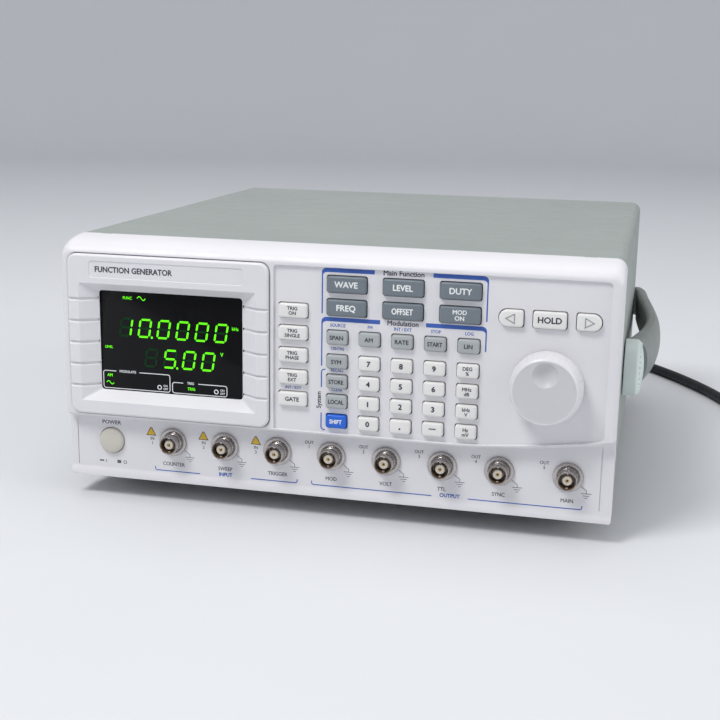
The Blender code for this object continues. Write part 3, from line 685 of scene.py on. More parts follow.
def make_plug():
    """Moulded three-pin plug with brass blades and a ribbed strain relief."""
    x, y = PLUG_AT
    z = -FOOT_H + 12.0
    count = 40
    bm = bmesh.new()
    steps = []
    for i in range(13):
        t = i / 12
        wave = (0.0, 0.5, 0.0)[i % 3] if i < 12 else 0.0
        ease = t * t * (3 - 2 * t)
        steps.append((y + 22.0 * t, circle(x, z - 4.0 * (1 - ease), 4.0 + 1.0 * t + wave, count)))
    shape = ((23.5, 7.5, 3.0), (25.5, 9.2, 4.0), (30.0, 10.9, 5.0), (34.0, 11.7, 6.0), (48.6, 11.9, 7.0),
             (49.6, 11.6, 7.0), (50.0, 11.0, 7.0))
    for along, half, power in shape:
        steps.append((y + along, rounded_square(x, z, half, half, power, count)))
    stepped(bm, steps)
    for side in (-6.35, 6.35):
        blade = rounded_rect(x + side - 0.75, x + side + 0.75, z - 1.0, z + 5.3, 0.3, 2)
        tip = grown(blade, -0.3)
        stepped(bm, [(y + 49.5, blade), (y + 64.6, blade), (y + 65.9, tip)], 1)
    pin = [(0.0, 67.9), (1.3, 67.6), (2.1, 66.4), (2.4, 64.8), (2.4, 49.5), (0.0, 49.5)]
    turned(bm, pin, at(x, y, z - 5.5), 20, "back", 1)
    return place(to_object("mains_plug", bm, ["lead", "brass"]), "case", "lead", "wall_plug")


# ---------------------------------------------------------------- moulded front

FACE_Y = -20.0
STRIP_Y = -14.0
RECESS_Y = -18.6
PANEL_BACK_Y = -16.1
STRIP_BACK_Y = -11.5
WALL = 2.5
LEDGE_Z = 34.2
TOP_LINE = ((0.0, 130.6), (-5.5, 130.25), (-10.5, 129.4), (-14.5, 128.1), (-17.2, 126.6), (-18.4, 125.6),
            (-19.2, 124.6), (-19.7, 123.8), (-19.93, 123.1), (FACE_Y, 122.4))
SIDE_ROUND = 3.2
KEY_FLANGE = 0.9
KEY_CLEAR = 0.35
JACK_X = [-85.9 + 29.1 * i for i in range(7)] + [123.0]
JACK_Z = 22.4
HALF_W = FRONT_HIGH.x / MM


def ledge(x):
    """Height of the upper panel's lower edge, which rises towards the right-hand end."""
    return LEDGE_Z + 7.0 * max(0.0, (x - 62.0) / 78.0) ** 1.7


def ledge_line(lift, x0, x1, count=30):
    return [(x0 + (x1 - x0) * i / count, ledge(x0 + (x1 - x0) * i / count) + lift) for i in range(count + 1)]


def front_blank():
    steps = []
    for y, top in reversed(TOP_LINE):
        deep = max(0.0, FACE_Y + SIDE_ROUND - y)
        inset = SIDE_ROUND - math.sqrt(max(0.0, SIDE_ROUND**2 - deep**2))
        outline = rounded_rect(-HALF_W + inset, HALF_W - inset, 0.0, top, 1.2, 8, 5.5 - inset * 0.6)
        steps.append((y, outline))
    return from_steps("front_panel", [steps], ["bezel"])


def strip_steps():
    """What is taken away in front of the lower strip: its top follows the ledge with a soft edge, and it
    leaves a lip along the bottom."""
    rings = ((-30.0, 2.0, -10.0), (-20.1, 2.0, -10.0), (-19.75, 1.15, -10.0), (-19.1, 0.5, -10.0),
             (-18.2, 0.12, -10.0), (-17.0, 0.0, -10.0), (-15.42, 0.0, -10.0), (-15.4, 0.0, 2.6),
             (STRIP_Y, 0.0, 5.2))
    steps = []
    for y, lift, low in rings:
        left = arc(-HALF_W + 3.2, LEDGE_Z + 3.6 + lift, 3.6, 180, 262, 6)
        right = arc(HALF_W - 3.6, ledge(HALF_W) + 4.0 + lift, 4.0, -80, 0, 6)
        line = left + ledge_line(lift, -138.0, 136.0) + right
        steps.append((y, [(-160, line[0][1])] + line + [(160, line[-1][1]), (160, low), (-160, low)]))
    return steps


def recess_steps():
    """The shallow recess round the keys: its lower edge follows the ledge."""
    left, right, top = -28.2, 139.4, 121.7
    line = ledge_line(2.2, left, right, 24)
    outline = line[:-1] + arc(right - 2.5, line[-1][1] + 2.5, 2.5, -80, 0, 6)
    outline += arc(right - 2.5, top - 2.5, 2.5, 0, 90, 6) + arc(left + 2.0, top - 2.0, 2.0, 90, 180, 6)
    depths = ((-30.0, 0.25), (-20.02, 0.25), (-19.85, 0.08), (-19.6, 0.0), (RECESS_Y, 0.0))
    return [(y, grown(outline, out)) for y, out in depths]


def key_outline(kind, x0, x1, z0, z1, radius=1.3, steps=5):
    """A key's outline: square with rounded corners, or with one round end."""
    if kind == "plain":
        return rounded_rect(x0, x1, z0, z1, radius, steps)
    half = (z1 - z0) / 2
    outline = arc(x1 - radius, z0 + radius, radius, -90, 0, steps)
    outline += arc(x1 - radius, z1 - radius, radius, 0, 90, steps)
    outline += arc(x0 + half, (z0 + z1) / 2, half, 90, 270, steps * 3)
    if kind == "left":
        return outline
    return [(x0 + x1 - x, z) for x, z in outline][::-1]


def key_cap(node):
    """A key's (kind, x0, x1, z0, z1), without the flange behind the panel."""
    (x0, x1), _, (z0, z1) = span(node)
    kind = {"key_cursor_left": "left", "key_cursor_right": "right"}.get(node, "plain")
    return kind, x0 + KEY_FLANGE, x1 - KEY_FLANGE, z0 + KEY_FLANGE, z1 - KEY_FLANGE


KEYS = sorted(node for node in frame["nodes"] if node.startswith("key_"))


def make_front():
    """The moulded front: upper panel with its recess, lower strip under the curved ledge, all its holes."""
    front = front_blank()
    inside = HALF_W - WALL
    cut_steps(front, [strip_steps()])
    line = ledge_line(WALL, -HALF_W + WALL, inside)
    outline = line + [(inside, 124.6), (-HALF_W + WALL, 124.6)]
    cut_steps(front, [prism(outline, PANEL_BACK_Y, 5.0)])
    cut_blocks(front, [((-HALF_W + WALL, inside), (STRIP_BACK_Y, 5.0), (WALL, 60.0))])
    cut_steps(front, [recess_steps()])
    (x0, x1), _, (z0, z1) = span("display_surround")
    opening = rounded_rect(x0 - 0.3, x1 + 0.3, z0 - 0.3, z1 + 0.3, 5.3, 8)
    holes = [[(-30, grown(opening, 0.5)), (-20.02, grown(opening, 0.5)), (-19.6, grown(opening, 0.1)),
              (-19.0, opening), (-11, opening)]]
    holes += [prism(grown(key_outline(*key_cap(node)), KEY_CLEAR), -25, -14.5) for node in KEYS]
    for node, radius, back in (("knob", 4.0, -10.0), ("power_button", 7.35, -5.0)):
        holes.append(prism(circle(*centre(node), radius, 48), -25, back))
    holes += [prism(circle(x, JACK_Z, 6.1, 32), -20, -5) for x in JACK_X]
    cut_steps(front, holes)
    grooves = []
    for x0, x1, z0, z1 in ((-141.3, -140.8, 5.6, 31.5), (138.8, 139.3, 6.0, 38.0)):
        grooves.append(((x0, x1), (STRIP_Y - 2, STRIP_Y + 0.5), (z0, z1)))
    for side in (-1, 1):
        grooves.append(((side * 127 - 3, side * 127 + 3), (-0.7, 0.5), (129.6, 132)))
        grooves.append(((side * 145 - 0.8, side * 145 + 0.8), (-0.6, 0.5), (115, 118)))
    cut_blocks(front, grooves)
    soften(front, 0.3)
    place(front, "case", "bezel", "front_bezel")


SURROUND_FRONT = -22.0
FUNNEL_FRONT = (-134.5, -36.8, 44.1, 106.9)
FUNNEL_DEPTH = 5.7
NAMEPLATE = (-127.9, -44.0, 110.4, 118.8)
NAMEPLATE_DEPTH = 0.4
RIB_TOP = 98.9
RIB_PITCH = 11.6


def window_hole():
    (x0, x1), _, (z0, z1) = span("display_window")
    return x0 + 1.7, x1 - 1.7, z0 + 1.7, z1 - 1.7


def make_surround():
    """Frame of the display: a raised rounded plate with a funnel down to the window, a shallow nameplate
    recess, and finger grooves across both sides that run on down the funnel's slopes."""
    (x0, x1), (_, back), (z0, z1) = span("display_surround")
    edge_steps = ((SURROUND_FRONT, 1.4), (-21.93, 0.95), (-21.7, 0.5), (-21.3, 0.17), (-20.7, 0.0),
                  (back, 0.0))
    steps = []
    for y, inset in edge_steps:
        steps.append((y, rounded_rect(x0 + inset, x1 - inset, z0 + inset, z1 - inset, 5.0 - inset * 0.6, 8)))
    surround = from_steps("display_frame", [steps], ["bezel"])
    wide = grown(rounded_rect(*FUNNEL_FRONT, 0.5, 3), 0.7)
    hole = window_hole()
    narrow = rounded_rect(*hole, 1.6, 3)
    bottom = SURROUND_FRONT + FUNNEL_DEPTH
    cut_steps(surround, [[(-22.6, wide), (bottom, narrow), (-5.0, narrow)]])
    pocket = ((hole[0] - 2.0, hole[1] + 2.0), (bottom + 0.4, -5.0), (hole[2] - 2.0, hole[3] + 2.0))
    cut_blocks(surround, [pocket])
    name_recess = rounded_rect(*NAMEPLATE, 1.6, 4)
    mouth = grown(name_recess, 0.3)
    cut_steps(surround, [[(-24, mouth), (SURROUND_FRONT - 0.02, mouth),
                          (SURROUND_FRONT + NAMEPLATE_DEPTH, name_recess)]])
    slope = FUNNEL_DEPTH / (hole[0] - FUNNEL_FRONT[0])
    groove = ((-3, 0.5), (-3, -4.6), (0.05, -1.5), (0.85, -0.75), (0.95, -0.3), (0.95, 0.4))
    for edge, lip, way in ((x0 - 1, FUNNEL_FRONT[0], 1), (x1 + 1, FUNNEL_FRONT[1], -1)):
        ribs = bmesh.new()
        for i in range(5):
            z = RIB_TOP - RIB_PITCH * i
            rings = []
            for x, deep in ((edge, 0.0), (lip, 0.0), (lip + way * 9.0, 9.0 * slope)):
                y = SURROUND_FRONT + deep
                rings.append([at(x, y + in_y, z + in_z) for in_y, in_z in groove])
            loft(ribs, rings)
        cut(surround, ribs)
    soften(surround, 0.22)
    place(surround, "case", "bezel", "display_surround")


# ---------------------------------------------------------------- display

DIGIT_W, DIGIT_H, DIGIT_PITCH = 7.2, 10.4, 10.57
DIGIT_LEAN = 0.17
SEGMENTS = {
    "a": ((0, 2), (1, 2)), "b": ((1, 2), (1, 1)), "c": ((1, 1), (1, 0)), "d": ((0, 0), (1, 0)),
    "e": ((0, 1), (0, 0)), "f": ((0, 2), (0, 1)), "g": ((0, 1), (1, 1)),
}
LIT = {"0": "abcdef", "1": "bc", "5": "acdfg", " ": ""}


def segment(bm, x, z, name, y, index):
    """One bar of a seven-segment figure, pointed at both ends."""
    ends = []
    for across, up in SEGMENTS[name]:
        ends.append(Vector((across * (DIGIT_W - 1.2) + 0.6, up * (DIGIT_H - 1.2) / 2 + 0.6)))
    along = (ends[1] - ends[0]).normalized()
    side = Vector((-along.y, along.x)) * 0.52
    a, b = ends[0] + along * 0.35, ends[1] - along * 0.35
    taper = along * 0.5
    points = [a, a + side + taper, b + side - taper, b, b - side - taper, a - side + taper]
    outline = [(x + p.x + DIGIT_LEAN * p.y, z + p.y) for p in points]
    plate(bm, outline, y, 0.06, index)


def figures(bm, text, x, z, y):
    """A row of seven-segment figures with their unlit bars, and a point after a figure where one is."""
    cell = x
    for character in text:
        if character == ".":
            plate(bm, circle(cell - DIGIT_PITCH + DIGIT_W + 1.1, z + 0.5, 0.62, 10), y, 0.06, 0)
            continue
        for name in SEGMENTS:
            # Unlit bars take the faint painted glow.
            segment(bm, cell, z, name, y, 0 if name in LIT[character] else 1)
        cell += DIGIT_PITCH


def wave_line(x, z, width, height, count=14):
    return [(x + width * i / count, z + height / 2 * math.sin(2 * math.pi * i / count))
            for i in range(count + 1)]


def make_display():
    """Dark filter window with the lit readings, the unlit bars with a faint painted glow, and a white
    printed frame round each status field."""
    (x0, x1), (front, back), (z0, z1) = span("display_window")
    edge = rounded_rect(x0 + 0.3, x1 - 0.3, z0 + 0.3, z1 - 0.3, 1.0, 3)
    full = rounded_rect(x0, x1, z0, z1, 1.0, 3)
    steps = [(front, edge), (front + 0.3, full), (back, full)]
    window = from_steps("display_filter_window", [steps], ["window"])
    place(window, "case", "window", "display_window")
    y = front - 0.07
    lit = bmesh.new()
    figures(lit, "10.0000", -115.2, 78.4, y)
    figures(lit, " 5.00", -101.3, 62.8, y)
    lettering(lit, "kHz", -50.2, 86.3, y, 1.7)
    lettering(lit, "V", -57.6, 72.2, y, 2.0)
    lettering(lit, "FUNC", -109.6, 99.2, y, 1.5)
    stripe(lit, wave_line(-104.1, 99.4, 4.6, 1.9), 0.42, y, 0.06)
    lettering(lit, "LEVEL", -120.7, 72.4, y, 1.3)
    lettering(lit, "AM", -120.6, 57.0, y, 1.6)
    stripe(lit, wave_line(-122.6, 53.0, 4.2, 1.7), 0.38, y, 0.06)
    lettering(lit, "TRIG", -74.6, 52.6, y, 1.5)
    place(to_object("display_figures", lit, ["lit", "dim_painted_glow"], 0), "case", "window")
    print_bm = bmesh.new()
    for left, right, low, high, gap0, gap1, title in (
        (-124.3, -86.6, 50.0, 59.4, -117.0, -103.8, "MODULATE"),
        (-85.2, -54.9, 49.9, 55.6, -79.2, -70.8, "TRIG"),
    ):
        start = [(gap0, high), (left + 1.2, high)] + arc(left + 1.2, high - 1.2, 1.2, 90, 180, 4)
        start += arc(left + 1.2, low + 1.2, 1.2, 180, 270, 4)
        end = arc(right - 1.2, low + 1.2, 1.2, 270, 360, 4) + arc(right - 1.2, high - 1.2, 1.2, 0, 90, 4)
        stripe(print_bm, start + end + [(gap1, high)], 0.42, y, 0.06)
        lettering(print_bm, title, (gap0 + gap1) / 2, high, y, 1.35)
        ring_x = right - 5.9
        ring = circle(ring_x, low + 2.3, 1.05, 20)
        stripe(print_bm, ring + ring[:1], 0.5, y, 0.06)
        lettering(print_bm, "ON", right - 2.5, low + 3.2, y, 1.15)
        lettering(print_bm, "OFF", right - 2.5, low + 1.5, y, 1.15)
    place(to_object("display_print", print_bm, ["white_print"], 0), "case", "window")


# ---------------------------------------------------------------- keys, knob, button

LEGENDS = {
    "waveform": ("WAVE",), "amplitude": ("LEVEL",), "duty": ("DUTY",), "frequency": ("FREQ",),
    "offset": ("OFFSET",), "modulation": ("MOD", "ON"), "gate_on": ("TRIG", "ON"),
    "gate_single": ("TRIG", "SINGLE"), "gate_phase": ("TRIG", "PHASE"), "gate_external": ("TRIG", "EXT"),
    "gate_time": ("GATE",), "span": ("SPAN",), "am": ("AM",), "rate": ("RATE",), "start": ("START",),
    "linear": ("LIN",), "symmetry": ("SYM",), "store": ("STORE",), "remote": ("LOCAL",),
    "shift": ("SHIFT",), "unit_degree": ("DEG", "%"), "unit_mhz": ("MHz", "dB"), "unit_khz": ("kHz", "V"),
    "unit_hz": ("Hz", "mV"), "hold": ("HOLD",),
}
LARGE_KEYS = ("waveform", "amplitude", "duty", "frequency", "offset", "modulation")


def key_legend(bm, name, x, z, y):
    """The legend on a key's face: a digit, one or two words, a point, a minus bar or a raised arrow."""
    if name.startswith("cursor"):
        way = -1 if name.endswith("left") else 1
        arrow = [(x - way * 1.8, z + 2.3), (x + way * 2.4, z), (x - way * 1.8, z - 2.3)]
        stripe(bm, arrow + arrow[:1], 0.55, y - 0.06, 0.3, 3)
        return
    if name.isdigit():
        lettering(bm, name, x, z, y, 2.6, 1, 0.065, wide=1.05)
        return
    if name == "point":
        plate(bm, circle(x, z - 0.9, 0.5, 14), y, 0.04, 1)
        return
    if name == "minus":
        block(bm, (x - 1.8, x + 1.8), (y, y + 0.04), (z + 0.2, z + 0.75), 1)
        return
    words = LEGENDS[name]
    large = name in LARGE_KEYS
    height = 2.95 if large or name == "hold" else 2.1
    if len(words) == 2:
        height = 2.15 if large else 1.75
    widest = 8.6
    if large or name == "hold" or name.startswith("gate"):
        widest = 13.0
    for i, word in enumerate(words):
        z_line = z + (0.5 * (len(words) - 1) - i) * height * 1.4
        wide = min(1.0, widest / (len(word) * height * 0.95))
        lettering(bm, word, x, z_line, y, height, 1, 0.045, wide=wide)


def make_key(node):
    """A key cap with rounded edges and corners, a slightly crowned face and its legend."""
    kind, x0, x1, z0, z1 = key_cap(node)
    _, (front, back), _ = span(node)
    outline = key_outline(kind, x0, x1, z0, z1)
    foot = grown(outline, -0.08)
    crown = front + 0.05
    steps = [(crown, grown(outline, -1.5)), (crown + 0.07, grown(outline, -0.95)),
             (crown + 0.2, grown(outline, -0.55)), (crown + 0.42, grown(outline, -0.28)),
             (crown + 0.75, grown(outline, -0.14)), (crown + 1.3, grown(outline, -0.1)), (-15.8, foot)]
    stem = grown(outline, -1.0)
    flange = grown(outline, KEY_FLANGE)
    bm = bmesh.new()
    stepped(bm, steps)
    # The flange and stem behind the panel are near black, painted shade in the gap round the key.
    stepped(bm, [(-15.79, flange), (-14.8, flange), (-14.8, stem), (back, stem)], 2)
    name = node[4:]
    key_legend(bm, name, (x0 + x1) / 2, (z0 + z1) / 2, front)
    slot = SLOTS[node]
    ink = "white_print" if slot in ("key_dark", "key_blue") else "dark_print"
    cap = to_object("cap_" + name, bm, [slot, ink, "painted_shade_black", "arrow"], 35)
    place(cap, node, slot, node)


def make_knob():
    """Dial knob: fluted skirt, chamfered rim in the lighter grey, nearly flat face with a finger dimple in a
    darker grey that is painted shade.
    """
    (x0, x1), (front, back), _ = span("knob")
    x, z = centre("knob")
    radius = (x1 - x0) / 2
    tip = -front

    def flutes(r, height, angle):
        wall = tip - 8.6 < height < tip - 1.0 and r > 16.0
        return r - (0.16 if wall and math.cos(angle * 72) < -0.2 else 0.0)

    profile = [(0, tip - 0.35), (8.0, tip - 0.28), (13.5, tip - 0.12), (15.3, tip - 0.05), (15.45, tip),
               (15.8, tip - 0.05), (16.4, tip - 0.55), (16.95, tip - 2.4), (17.4, tip - 4.4),
               (17.8, tip - 6.6), (radius, tip - 8.0), (radius, tip - 8.8), (radius, -back + 0.6),
               (radius - 0.5, -back), (3.4, -back), (3.4, 27.4), (0, 27.4)]
    bm = bmesh.new()
    turned(bm, profile, at(x, 0, z), 288, "front", 0, flutes)
    knob = to_object("dial_knob", bm, ["knob", "knob_face_painted_shade"])
    ball = bmesh.new()
    middle = at(x, front - 5.2, z + 8.4)
    bmesh.ops.create_uvsphere(ball, u_segments=64, v_segments=48, radius=8.3 * MM,
                              matrix=Matrix.Translation(middle) @ Matrix.Rotation(math.pi / 2, 4, "X"))
    cut(knob, ball)
    middle = at(x, front, z)
    # The face and its dimple take the darker grey, which is painted shade.
    for face in knob.data.polygons:
        off = face.center - middle
        face.material_index = 1 if off.y < 4 * MM and math.hypot(off.x, off.z) < 15.35 * MM else 0
    knob.data.shade_smooth()
    knob.data.set_sharp_from_angle(angle=math.radians(26))
    place(knob, "knob", "key_white", "knob")


def make_power_button():
    """Round push button with a soft edge and a faintly domed face."""
    _, (front, back), _ = span("power_button")
    x, z = centre("power_button")
    tip = -front
    profile = [(0, tip), (3.0, tip - 0.05), (5.0, tip - 0.2), (6.0, tip - 0.42), (6.55, tip - 0.75),
               (6.85, tip - 1.2), (6.98, tip - 1.9), (7.0, 8.2), (8.3, 8.2), (8.3, 6.7), (3.0, 6.7),
               (3.0, -back), (0, -back)]
    bm = bmesh.new()
    turned(bm, profile, at(x, 0, z), 64)
    place(to_object("push_button", bm, ["power_button"]), "power_button", "power_button", "power_button")


# ---------------------------------------------------------------- coaxial sockets


def make_sockets():
    """Coaxial bayonet sockets: ring nut, barrel with two lugs, open mouth, insulator sleeve and contact."""
    _, (front, _), _ = span("coaxial_sockets")
    tip = -front
    metal = bmesh.new()
    inner = bmesh.new()
    ring = [(4.0, 15.3), (5.3, 15.3), (5.6, 15.45), (6.9, 15.5), (7.4, 15.3), (7.6, 14.95), (7.6, 14.3),
            (5.9, 14.3), (5.9, 6.6), (4.0, 6.6), (4.0, 15.3)]
    barrel = [(4.4, tip - 0.2), (4.5, tip - 0.04), (4.62, tip), (4.8, tip - 0.1), (4.9, tip - 0.35),
              (4.9, 16.7), (4.6, 16.5), (4.6, 15.9), (4.9, 15.7), (4.9, 14.5), (4.35, 14.5),
              (4.35, tip - 0.5), (4.4, tip - 0.2)]
    sleeve = [(0.95, tip - 1.3), (2.1, tip - 1.2), (2.4, tip - 1.4), (2.5, tip - 1.8), (2.6, tip - 4.6),
              (3.2, tip - 5.0), (3.2, 13.3), (4.4, 13.2), (4.4, 12.6), (0.95, 12.6), (0.95, tip - 1.3)]
    contact = [(0.45, tip - 1.9), (0.75, tip - 1.8), (0.92, tip - 2.0), (0.92, 12.7), (0.45, 12.7),
               (0.45, tip - 1.9)]
    liner = ring_profile(4.22, 4.36, 13.2, tip - 0.5)
    for x in JACK_X:
        middle = at(x, 0, JACK_Z)
        turned(metal, ring, middle, 48)
        turned(metal, barrel, middle, 48)
        for side in (1, -1):
            spot = at(x, -(tip - 2.3), JACK_Z + side * 4.4)
            bmesh.ops.create_cone(metal, cap_ends=True, segments=20, radius1=0.95 * MM, radius2=0.95 * MM,
                                  depth=2.0 * MM, matrix=Matrix.Translation(spot))
        turned(inner, sleeve, middle, 36, "front", 0)
        turned(inner, contact, middle, 20, "front", 1)
        turned(inner, liner, middle, 40, "front", 3)
        # A near-black plug at the bottom of the bore: painted shade.
        turned(inner, rod(0.5, 12.7, 13.2), middle, 16, "front", 2)
    low, high = JACK_X[0] - 8.5, JACK_X[-1] + 8.5
    block(metal, (low, high), (-6.5, -5.0), (JACK_Z - 8.5, JACK_Z + 8.5))
    sockets = to_object("socket_barrels", metal, ["jack"], 32)
    place(sockets, "case", "jack", "coaxial_sockets")
    inside = to_object("socket_insulators", inner, ["insulator", "contact", "painted_shade_black", "liner"], 32)
    place(inside, "case", "jack")


# ---------------------------------------------------------------- printed legends

RECESS_INK = RECESS_Y - 0.05
STRIP_INK = STRIP_Y - 0.05
INK = 0.06


def bracket(bm, x0, x1, gap0, gap1, z, width):
    """A line with upturned rounded ends and a gap for its title, under a group of sockets."""
    left = [(x0, z + 2.0)] + arc(x0 + 1.2, z + 1.2, 1.2, 190, 270, 5) + [(gap0, z)]
    right = [(gap1, z)] + arc(x1 - 1.2, z + 1.2, 1.2, 270, 350, 5) + [(x1, z + 2.0)]
    stripe(bm, left, width, STRIP_INK, INK)
    stripe(bm, right, width, STRIP_INK, INK)


def group_frame(bm, left, right, top, thick, gap0, gap1, low_left, low_right):
    """The thick top bar of a key group, broken for its title, with a thin line down each side."""
    middle = top - thick / 2
    radius, line = 2.4, 0.65
    inner_r = radius - line
    angles = [math.pi - math.pi / 2 * i / 6 for i in range(7)]
    for way, edge, gap, low in ((1, left, gap0, low_left), (-1, right, gap1, low_right)):
        corner = []
        inner = []
        for a in angles:
            out_x = edge + way * (radius + radius * math.cos(a))
            corner.append((out_x, top - radius + radius * math.sin(a)))
            in_x = edge + way * (line + inner_r * 1.3 * (1 + math.cos(a)))
            inner.append((in_x, middle - thick / 2 - 1.6 + 1.6 * math.sin(a)))
        outer = [(gap, middle - thick / 2), (gap, top)] + corner[::-1]
        plate(bm, outer + [(edge, low), (edge + way * line, low)] + inner, RECESS_INK, INK)


def make_panel_print():
    """Lettering and lines on the recessed key panel."""
    blue = bmesh.new()
    group_frame(blue, -3.4, 80.3, 121.4, 2.1, 23.6, 53.0, 98.2, 99.0)
    group_frame(blue, -3.4, 80.3, 96.5, 2.1, 26.8, 50.0, 71.2, 84.0)
    top = [(-1.1, 69.4)] + arc(-1.5, 67.8, 1.6, 90, 180, 4) + [(-3.1, 60.0)]
    stripe(blue, top, 0.6, RECESS_INK, INK)
    low = [(-3.1, 46.6), (-3.1, 39.2)] + arc(-1.5, 39.2, 1.6, 180, 270, 4) + [(-1.0, 37.6)]
    stripe(blue, low, 0.6, RECESS_INK, INK)
    columns = [5.1 + 16.65 * i for i in range(5)]
    for text, x in zip(("SOURCE", "FM", "INT / EXT", "STOP", "LOG"), columns):
        lettering(blue, text, x, 92.4, RECESS_INK, 1.6, thick=INK)
    for text, z in (("CENTRE", 80.4), ("RECALL", 69.2), ("CLEAR", 59.0)):
        lettering(blue, text, columns[0], z, RECESS_INK, 1.45, thick=INK)
    lettering(blue, "INT / EXT", -18.0, 58.6, RECESS_INK, 1.5, thick=INK)
    place(to_object("panel_print_blue", blue, ["blue_print"], 0), "case", "bezel")
    dark = bmesh.new()
    lettering(dark, "Main Function", 38.3, 120.3, RECESS_INK, 2.5, 0, 0.035, wide=1.02, thick=INK)
    lettering(dark, "Modulation", 38.4, 95.3, RECESS_INK, 2.4, 0, 0.035, wide=1.02, thick=INK)
    lettering(dark, "System", -4.3, 53.2, RECESS_INK, 2.3, 0, 0.035, turn=90.0, wide=0.95, thick=INK)
    place(to_object("panel_print_dark", dark, ["dark_print"], 0), "case", "bezel")


def make_strip_print():
    """Lettering, group brackets and earth signs along the strip of sockets."""
    grey = bmesh.new()
    y = STRIP_INK
    lettering(grey, "POWER", -121.3, 30.3, y, 2.0, 0, 0.04, wide=1.1, thick=INK)
    block(grey, (-128.8, -126.4), (y, y + INK), (8.0, 8.8))
    lettering(grey, "I", -125.0, 8.3, y, 1.6, thick=INK)
    block(grey, (-118.6, -116.4), (y, y + INK), (7.6, 9.4))
    off = circle(-114.0, 8.4, 0.85, 18)
    stripe(grey, off + off[:1], 0.3, y, INK)
    names = ("COUNTER", "SWEEP", "TRIGGER", "MOD", "VOLT", "TTL", "SYNC", "MAIN")
    for number, (x, text) in enumerate(zip(JACK_X, names)):
        lettering(grey, text, x, 9.8, y, 2.0, 0, 0.025, thick=INK)
        words, top = (("IN", str(number + 1)), 23.2) if number < 3 else (("OUT", str(number - 2)), 28.6)
        for i, word in enumerate(words):
            lettering(grey, word, x - 12.0, top - 2.5 * i, y, 1.7, 0, 0.025, thick=INK)
        earth = [(x + 6.6, JACK_Z - 4.4), (x + 9.3, JACK_Z - 6.4), (x + 9.3, JACK_Z - 8.0)]
        stripe(grey, earth, 0.28, y, INK)
        for i, wide in enumerate((5.0, 3.2, 1.5)):
            bar_z = JACK_Z - 8.0 - 1.15 * i
            block(grey, (x + 9.3 - wide / 2, x + 9.3 + wide / 2), (y, y + INK), (bar_z - 0.14, bar_z + 0.14))
    place(to_object("strip_print_grey", grey, ["grey_print"], 0), "case", "bezel")
    blue = bmesh.new()
    bracket(blue, -96.5, -17.0, -71.0, -42.4, 5.9, 0.5)
    bracket(blue, -9.2, 130.5, 54.5, 73.3, 5.9, 0.5)
    lettering(blue, "INPUT", -56.6, 6.6, y, 2.0, 0, 0.05, thick=INK)
    lettering(blue, "OUTPUT", 63.9, 6.6, y, 2.0, 0, 0.05, thick=INK)
    place(to_object("strip_print_blue", blue, ["blue_print"], 0), "case", "bezel")
    yellow = bmesh.new()
    for x in (-98.5, -68.9, -39.7):
        corners = [(x - 2.6, 25.1), (x + 2.6, 25.1), (x + 0.2, 29.4), (x - 0.2, 29.4)]
        plate(yellow, corners, y, INK)
        stripe(yellow, corners + corners[:1], 0.34, y - 0.01, INK, 1)
    place(to_object("strip_print_yellow", yellow, ["yellow_print", "dark_print"], 0), "case", "bezel")
    name = bmesh.new()
    plate_y = SURROUND_FRONT + NAMEPLATE_DEPTH - 0.05
    lettering(name, "FUNCTION GENERATOR", -103.5, 114.5, plate_y, 2.9, 0, 0.045, thick=INK)
    place(to_object("nameplate_print", name, ["dark_print"], 0), "case", "bezel")


# ---------------------------------------------------------------- case

COVER_RADIUS = 6.0
SHEET = 1.2
# Where the handle turns, as (y, z).
HUB_AT = (42.0, 67.5)


def make_cover():
    """Folded sheet cover: rounded top corners, a hem along its front edge, holes for the hub pins."""
    (x0, x1), (front, back), (low, high) = span("case_cover")
    corner = high - COVER_RADIUS

    def skin(inset):
        radius = COVER_RADIUS - inset
        path = [(x1 - inset, low)] + arc(x1 - COVER_RADIUS, corner, radius, 0, 90, 10)
        return path + arc(x0 + COVER_RADIUS, corner, radius, 90, 180, 10) + [(x0 + inset, low)]

    outer, inner, hem = skin(0.0), skin(SHEET), skin(SHEET + 0.9)
    sheet = prism(outer + inner[::-1], front, back)
    folded = prism(inner + hem[::-1], front + 0.05, front + 9.0)
    cover = from_steps("folded_cover", [sheet, folded], ["cover"])
    cut_rod(cover, 4.6, -160, 160, at(0, *HUB_AT), 32, "right")
    soften(cover, 0.35)
    place(cover, "case", "cover", "case_cover")


def make_back():
    """The rear panel's six cross-slotted screws."""
    (x0, x1), (_, back), (z0, z1) = span("chassis")
    screws = bmesh.new()
    left, right, low, high = x0 + 7, x1 - 7, z0 + 7, z1 - 7
    heads = [(left, low), (right, low), (left, high), (right, high), (0, high), (0, low)]
    profile = [(0, 0.75), (1.1, 0.72), (2.1, 0.5), (2.8, 0.0), (2.8, -0.3), (0, -0.3)]
    for x, z in heads:
        turned(screws, profile, at(x, back, z), 32, "back")
    head = to_object("rear_screws", screws, ["screw"])
    for half_x, half_z in ((1.5, 0.3), (0.3, 1.5)):
        depth = (back + 0.3, back + 2)
        cut_blocks(head, [((x - half_x, x + half_x), depth, (z - half_z, z + half_z)) for x, z in heads])
    place(head, "case", "chassis")


